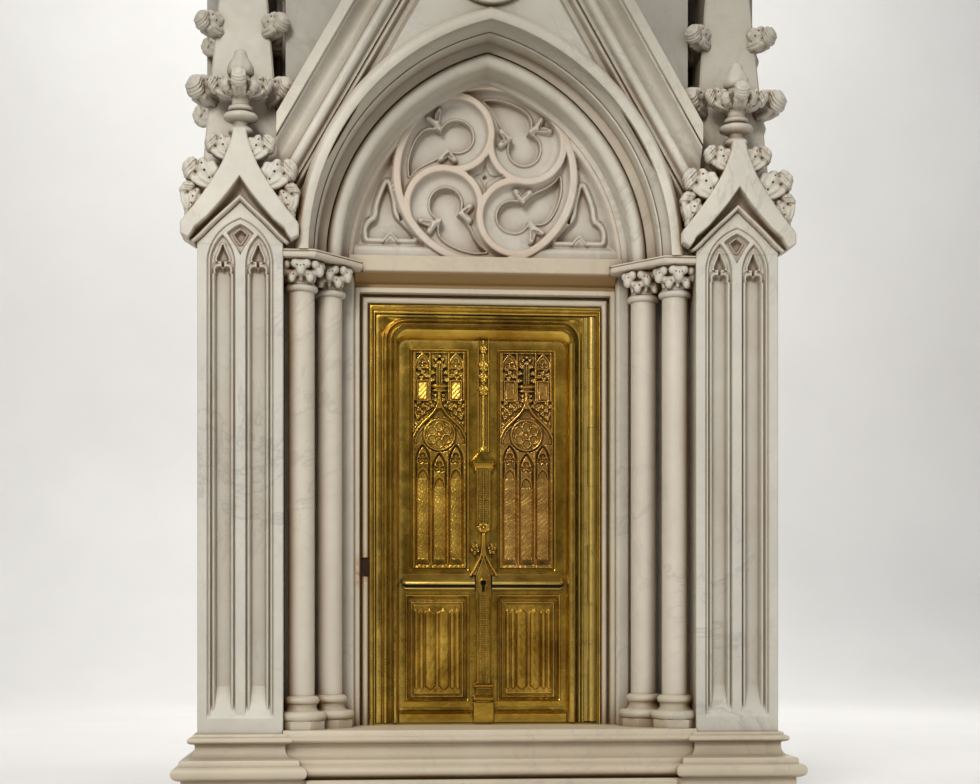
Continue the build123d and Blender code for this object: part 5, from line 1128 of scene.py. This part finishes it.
B = np.abs(Xg)
out = sd_poly(Xg, Zg, H_OUT)
din = sd_poly(Xg, Zg, H_IN)
dr = poly2(B, Zg, ROLL)
inroll = Zg < np.interp(B, [p[0] for p in ROLL], [p[1] for p in ROLL])
Y = lerp(-din, [-1.2, 0.0, 0.6, 1.2, 2.6, 5.0, 8.0], [-125, -124.4, -121.0, -114.0, -108.0, -105.0, -105.5])
Y = np.where(inroll, np.where((B < 54), light_face(Xg, Zg), -110.0), Y)
Y = np.where((dr < 4.2) & inroll, np.maximum(Y, -108.6), Y)
Y = np.where(dr < 2.9, np.minimum(Y, -110.5 - dome(dr, 2.95, 7.0)), Y)
Y = np.where(out > -1.0, Y + 1.0, Y)
cellv = lambda G: (G[:-1, :-1] + G[1:, :-1] + G[:-1, 1:] + G[1:, 1:]) / 4
Bc, Zc, oc, rc = cellv(B), cellv(Zg), cellv(out), cellv(dr)
irc = Zc < np.interp(Bc, [p[0] for p in ROLL], [p[1] for p in ROLL])
M = (oc < 0) & (((Bc < 54) & (Zc > 711.9)) | ((Bc >= 54) & ((Zc > 723 - (74 - Bc) * 0.62)) & (~irc | (rc < 2.4))))
for s, nm in ((-1, "left"), (1, "right")):
    hf("gablet_face_" + nm, s * 320 + xs, zs, Y, -79, M_CARVED, "tabernacle", ["gablet_" + nm], mask=M, sharp=0)
    core = [np.array([(s * 320 + a * w_, y, z) for a, y in ((-1, -79.5), (1, -79.5), (1, 60), (-1, 60))]) for w_, z in ((54, 712), (54, 788.5), (53, 790))]
    tube("gablet_core_" + nm, core, M_MARBLE, "tabernacle", (), 20)
    parts = []
    for side in (-1, 1):
        for px, pz, k, ph in ((58.0, 761.0, 0.96, 66), (35.0, 795.0, 1.24, 18), (13.5, 829.0, 1.04, 20)):
            c_, s_ = math.cos(math.radians(ph)), math.sin(math.radians(ph))
            parts.append(crocket("fine", (s * 320 + side * px, -111.5, pz), (side * c_, 0, s_), (-side * s_, 0, c_), (0, -1, 0), k))
    v, f = join(parts)
    mk("gablet_crockets_" + nm, v, f, M_CARVED, "tabernacle", (), True, 0)


def finial(name, cx, cy, z0, k, rep):
    prof = [(0, -8), (8.5, -8), (9.5, 4), (12.5, 7.4), (15.2, 9.4), (15.6, 12.4), (14.4, 15.4), (10.0, 17.6), (8.4, 20.4), (9.2, 23.0), (15, 24.6), (21.2, 27.4), (22.2, 30.0), (20.8, 33.0),
            (14, 35.4), (12.0, 36.6), (14.6, 37.8), (15.6, 40.0), (15.2, 42.6), (12, 44.4), (11.2, 46.6), (11.4, 58), (13.5, 63), (15, 70), (13.4, 78.4), (12.4, 81.4),
            (15.0, 83.0), (16.6, 86.4), (16.8, 90.4), (15.8, 95), (13.6, 100), (10.6, 104.6), (8.6, 108.6), (8.0, 112.4), (6.6, 114.6), (4.0, 115.8), (0, 116.2)]
    lob = lambda a, z: 1 + (0.03 * np.cos(8 * a) if 83 < (z - z0) / k < 96 else 0)
    v, f = lathe(cx, cy, [(r * k, z0 + z * k) for r, z in prof], 56, lob)
    parts = [(v, f)]
    for j in range(4):
        a = math.radians(90 * j)
        parts.append(crocket("fine", (cx + 12.5 * k * math.cos(a), cy + 12.5 * k * math.sin(a), z0 + 66 * k), (math.cos(a), math.sin(a), 0.15), (0, 0, 1), (-math.sin(a), math.cos(a), 0), 0.92 * k))
        a = math.radians(90 * j + 45)
        parts.append(crocket("mid", (cx + 9 * k * math.cos(a), cy + 9 * k * math.sin(a), z0 + 64 * k), (math.cos(a), math.sin(a), 0), (0, 0, 1), (-math.sin(a), math.cos(a), 0), 0.66 * k))
    V, F = join([(p[0], p[1]) for p in parts])
    mk(name, V, F, M_CARVED, "tabernacle", rep, True, 50)


for s, nm in ((-1, "left"), (1, "right")):
    finial("gablet_finial_carved_" + nm, s * 320, -103, 845.0, 1.0, ["gablet_finial_" + nm])
finial("gable_finial_carved", 0, -86, 1345, 0.93, ["gable_finial"])

for s, nm in ((-1, "left"), (1, "right")):
    rings = []
    hw = lambda z: 53 - (53 - 4.5) * (z - 790) / (1373 - 790)
    for z in (790, 791.5, 900, 1020, 1140, 1260, 1372, 1373):
        h = hw(z) - (0.8 if z in (790, 1373) else 0)
        c_ = min(2.2, h * 0.3)
        rings.append(np.array([(s * 320 + a, -25 + b, z) for a, b in ((-h + c_, -h), (h - c_, -h), (h, -h + c_), (h, h - c_), (h - c_, h), (-h + c_, h), (-h, h - c_), (-h, -h + c_))]))
    tube("spire_" + nm + "_body", rings, M_MARBLE, "tabernacle", ["spire_" + nm], 20)
    parts = []
    for z, k in ((916, 1.22), (1006, 1.04), (1104, 0.92), (1208, 0.80), (1306, 0.66)):
        h = hw(z)
        for a, b in ((-1, -1), (1, -1), (1, 1), (-1, 1)):
            t = (a / math.sqrt(2), b / math.sqrt(2), 0.0) if z > 950 or b > 0 else (a * 0.60, b * 0.80, 0.0)
            parts.append(crocket("mid" if b > 0 or z > 1150 else "fine", (s * 320 + a * h - a * 1.5, -25 + b * h - b * 1.5, z), t, (-0.06 * a, -0.06 * b, 1), (-t[1], t[0], 0), k))
    prof = [(0, 0), (8, 0), (8, 6), (12, 9), (12, 12), (8, 14), (7.6, 20), (9, 26), (9.6, 31), (7, 34), (8.6, 37), (10.4, 42), (9.4, 48), (5.4, 54), (0, 57)]
    parts.append(lathe(s * 320, -25, [(r, 1366 + z) for r, z in prof], 40))
    for j in range(4):
        a = math.radians(90 * j + 45)
        parts.append(crocket("mid", (s * 320 + 5 * math.cos(a), -25 + 5 * math.sin(a), 1391), (math.cos(a), math.sin(a), 0), (0, 0, 1), (-math.sin(a), math.cos(a), 0), 0.56))
    v, f = join(parts)
    mk("spire_crockets_" + nm, v, f, M_CARVED, "tabernacle", (), True, 0)


# capitals: a moulded abacus over two bells ringed with curled leaves
def leaf(X, Y, Z, cx, cy, ang, r, zt, k):
    """A trefoil leaf curling out and hanging from the bell; its tip points down."""
    c, s = math.cos(ang), math.sin(ang)
    P = (X - cx) * c + (Y - cy) * s
    T = -(X - cx) * s + (Y - cy) * c
    W = Z - zt
    q = lambda p, t, z, a, b, d: ell(P, T, W, (p, t * k, z * k), (a * k, b * k, d * k))
    d = q(r - 1.0, 0, -11.0, 6.4, 6.4, 7.4)
    d = smin(d, q(r + 0.6, 0, -15.4, 4.6, 4.8, 5.0), 2.6)
    d = smin(d, q(r - 5.0, 0, -4.0, 6.4, 7.6, 4.0), 1.8)
    d = smin(d, cap3(P, T, W, (r - 9, 0, -24 * k), (r - 5, 0, -10 * k), 2.6 * k, 3.4 * k), 1.6)
    for sg in (-1, 1):
        d = smin(d, q(r - 2.2, sg * 7.0, -5.6, 5.2, 5.4, 5.6), 2.2)
        d = np.maximum(d, -np.maximum(np.hypot(T - sg * 3.9 * k, W + 8.6 * k) - 0.95 * k, (r - 3) - P))
    d = np.maximum(d, -np.maximum(np.hypot(T, (W + 9.5 * k) * 0.45) - 0.65 * k, (r + 3.4) - P))
    return d


CI, CO = (208.5, -45.0), (244.0, -78.0)


def capital(X, Y, Z):
    d = np.full(X.shape, 9.0)
    for cx, cy in (CI, CO):
        r = np.hypot(X - cx, Y - cy)
        bell = np.maximum(r - np.interp(Z, [667, 686, 695, 699], [16.4, 17.6, 21.5, 26]), np.maximum(666 - Z, Z - 699.5))
        neck = np.sqrt((r - 17.4) ** 2 + ((Z - 662.6) * 0.94) ** 2) - 4.2
        core = np.maximum(r - 17.3, np.maximum(657.6 - Z, Z - 670))
        d = smin(d, smin(np.minimum(bell, core), neck, 0.8), 0.8)
    for cx, cy in (CI, CO):
        for a in (-150, -90, -30, 30):
            d = smin(d, leaf(X, Y, Z, cx, cy, math.radians(a), 27.0, 697.4, 1.05), 0.7)
        for a in (-120, -60, 0):
            d = smin(d, leaf(X, Y, Z, cx, cy, math.radians(a), 23.0, 685.6, 0.86), 0.7)
    d = np.maximum(d, X - 265.8)
    d = np.maximum(d, Y + 12.5)
    return np.maximum(d, Z - 699.0)


v, q = surf_nets((168, -119, 656), (267, -10, 700), 0.95, capital)
a, b, c_ = v[q[:, 0]], v[q[:, 1]], v[q[:, 2]]
if (a * np.cross(b, c_)).sum() < 0:
    q = q[:, ::-1].copy()
ab = [(266, -109), (225, -109), (165, -42), (165, 60), (266, 60)]


def off(pts, o):
    """Moves the two front edges and the inner return outwards by o."""
    return [(266, -109 - o), (225 - 0.41 * o, -109 - o), (165 - o, -42 - 0.45 * o), (165 - o, 60), (266, 60)]


rings = [np.array([(x, y, z) for x, y in off(ab, o)]) for z, o in ((697.6, -5), (698.4, -3.6), (699.2, -1.2), (700.6, -0.2), (702.6, 0.4), (704.8, 0.2), (705.6, -0.8), (706.0, -2.2), (706.6, -2.2), (707.2, -1.2), (708.6, -1.2), (709.0, -1.6))]
for s, nm in ((1, "right"), (-1, "left")):
    vv, qq = v * np.array([s, 1, 1]), (q if s > 0 else q[:, ::-1].copy())
    mk("capital_leaves_" + nm, vv, [qq], M_CARVED, "tabernacle", ["capital_" + nm], True, 0)
    tube("abacus_" + nm, [r * np.array([s, 1, 1]) for r in rings], M_CARVED, "tabernacle", (), 30)

for s, nm in ((-1, "left"), (1, "right")):
    ring = [(266.0, 31), (266.0, 6), (268.6, 4), (271.6, 4), (273.4, 7), (274.2, 12), (276.6, 14), (279.0, 14), (280.2, 16), (280.2, 31)]
    rings = [np.array([(s * (x if z > 960 else min(x, 274.0 + (z - 850) / 110 * 6.2)), y, z) for x, y in ring]) for z in (850.0, 905.0, 960.0, 1100.0, 1208.0)]
    tube("wall_fillet_" + nm, rings, M_GREY, "tabernacle", (), 30)

# ------------------------------------------------------------------ carried-over CAD nodes
replaced = set()
for node, o in frame["nodes"].items():
    sl = next(p["material_slot"] for p in frame["record"]["subparts"] if p["node"] == node)
    m = SLOT_MAT[sl]
    if node in ("screen_wall_left", "screen_wall_right"):
        m = M_GREY
    if node == "lintel":
        m = M_LINTEL
    if node.startswith("column_bases") or node == "lower_plinth":
        m = M_WARM
    o.data.materials.clear()
    o.data.materials.append(m)
for node in ("lower_plinth", "jamb_left", "jamb_right", "lintel", "chamber_roof", "chamber_cheek_left", "chamber_cheek_right",
             "chamber_back", "chamber_floor", "cedar_wall_boards", "cedar_floor_top", "screen_wall_left", "screen_wall_right", "gable_wall",
             "column_bases_left", "column_bases_right"):
    o = frame["nodes"][node]
    w = o.modifiers.new("weld", "WELD")
    w.merge_threshold = 0.00002
    b = o.modifiers.new("arris", "BEVEL")
    b.width = 0.0011
    b.segments = 2
    b.limit_method = "ANGLE"
    b.angle_limit = math.radians(38)
    b.harden_normals = False

# ------------------------------------------------------------------ stage, light, camera
me = bpy.data.meshes.new("floor")
n = 24
R = 9.0
prof = [(-7.0, 0.0), (2.6, 0.0)] + [(2.6 + 1.2 * math.sin(t), 1.2 - 1.2 * math.cos(t)) for t in np.linspace(0.1, math.pi / 2, 12)] + [(3.8, 8.0)]
verts = [(x, y, z - 0.0005) for y, z in prof for x in (-R, R)]
me.from_pydata(verts, [], [(2 * i, 2 * i + 1, 2 * i + 3, 2 * i + 2) for i in range(len(prof) - 1)])
for p in me.polygons:
    p.use_smooth = True
floor = bpy.data.objects.new("floor", me)
bpy.context.scene.collection.objects.link(floor)
k = NT("floor_pale")
k.link(k.mix(k.rng(k.noise(2.0, 3), 0.3, 0.7), rgb(236, 234, 230), rgb(230, 228, 224)), k.b.inputs["Base Color"])
k.b.inputs["Roughness"].default_value = 0.8
me.materials.append(k.m)

w = bpy.data.worlds.new("studio")
bpy.context.scene.world = w
w.use_nodes = True
nt = w.node_tree
bg = nt.nodes["Background"]
bg.inputs[0].default_value = (0.92, 0.94, 1.0, 1)
bg.inputs[1].default_value = 0.20
# reflections see a darker room with a bright side, as in a church
tc, sep = nt.nodes.new("ShaderNodeTexCoord"), nt.nodes.new("ShaderNodeSeparateXYZ")
nt.links.new(tc.outputs["Generated"], sep.inputs[0])


def wramp(src, stops):
    r = nt.nodes.new("ShaderNodeValToRGB")
    while len(r.color_ramp.elements) < len(stops):
        r.color_ramp.elements.new(0.5)
    for e_, (p_, v_) in zip(r.color_ramp.elements, stops):
        e_.position = p_
        e_.color = (v_, v_, v_, 1)
    mr = nt.nodes.new("ShaderNodeMapRange")
    mr.inputs[1].default_value, mr.inputs[2].default_value = -1, 1
    nt.links.new(src, mr.inputs[0])
    nt.links.new(mr.outputs[0], r.inputs[0])
    return r.outputs[0]


rz = wramp(sep.outputs[2], [(0.0, 0.10), (0.40, 0.16), (0.50, 0.30), (0.56, 0.9), (0.66, 1.0), (0.80, 0.35), (1.0, 0.2)])
rx = wramp(sep.outputs[0], [(0.0, 0.5), (0.22, 1.5), (0.36, 0.7), (0.47, 0.22), (0.56, 0.20), (0.64, 0.62), (0.74, 0.95), (0.86, 0.25), (1.0, 0.15)])
mul = nt.nodes.new("ShaderNodeMath")
mul.operation = "MULTIPLY"
nt.links.new(rz, mul.inputs[0])
nt.links.new(rx, mul.inputs[1])
bg2 = nt.nodes.new("ShaderNodeBackground")
bg2.inputs[0].default_value = (1.0, 0.95, 0.86, 1)
nt.links.new(mul.outputs[0], bg2.inputs[1])
lp_, ms = nt.nodes.new("ShaderNodeLightPath"), nt.nodes.new("ShaderNodeMixShader")
nt.links.new(lp_.outputs["Is Glossy Ray"], ms.inputs[0])
nt.links.new(bg.outputs[0], ms.inputs[1])
nt.links.new(bg2.outputs[0], ms.inputs[2])
nt.links.new(ms.outputs[0], next(n_ for n_ in nt.nodes if n_.type == "OUTPUT_WORLD").inputs[0])


def area(name, loc, target, size, power, color=(1, 1, 1), sy=None):
    l = bpy.data.lights.new(name, "AREA")
    l.shape = "RECTANGLE"
    l.size, l.size_y = size, sy or size
    l.energy = power
    l.color = color
    o = bpy.data.objects.new(name, l)
    o.location = loc
    o.rotation_euler = (Vector(target) - Vector(loc)).to_track_quat("-Z", "Y").to_euler()
    bpy.context.scene.collection.objects.link(o)
    return o


area("key", (-0.9, -2.5, 2.05), (0, 0, 0.6), 0.9, 55, (1.0, 0.98, 0.94))
f1 = area("fill", (2.4, -2.6, 1.2), (0, 0, 0.5), 2.0, 11, (0.97, 0.98, 1.0))
f2 = area("top", (0.2, -0.8, 3.2), (0, 0, 0.6), 1.4, 20, (1.0, 0.98, 0.95))
area("rim", (0.8, 2.4, 2.2), (0, 0.2, 0.5), 1.6, 26)
area("wash", (0.0, 1.6, 3.4), (0, 3.8, 1.2), 2.4, 70)
f1.visible_glossy = False
f2.visible_glossy = False

cam = bpy.data.cameras.new("camera")
co = bpy.data.objects.new("camera", cam)
bpy.context.scene.collection.objects.link(co)
co.location = (-0.175, -2.2, 0.230)
co.rotation_euler = (math.radians(90), 0, -math.radians(4.548))
cam.sensor_width = 36
cam.lens = 1634.8 / 980 * 36
cam.shift_x = 5 / 980
cam.shift_y = 233 / 980
cam.clip_start, cam.clip_end = 0.05, 60
bpy.context.scene.camera = co
# the lens shift belongs to the main view only: it fades out as the camera leaves that spot
eye = bpy.data.objects.new("main_view_eye", None)
eye.location = co.location
eye.empty_display_size = 0.01
bpy.context.scene.collection.objects.link(eye)
for prop, amount in (("shift_x", 5 / 980), ("shift_y", 233 / 980)):
    fc = cam.driver_add(prop)
    fc.driver.type = "AVERAGE"
    away = fc.driver.variables.new()
    away.name = "away"
    away.type = "LOC_DIFF"
    away.targets[0].id, away.targets[1].id = co, eye
    for m_ in list(fc.modifiers):
        fc.modifiers.remove(m_)
    while len(fc.keyframe_points):
        fc.keyframe_points.remove(fc.keyframe_points[0])
    for at, val in ((0.0, amount), (0.02, amount), (0.05, 0.0), (60.0, 0.0)):
        fc.keyframe_points.insert(at, val).interpolation = "LINEAR"
    fc.extrapolation = "CONSTANT"
bpy.context.scene.view_settings.view_transform = "Standard"
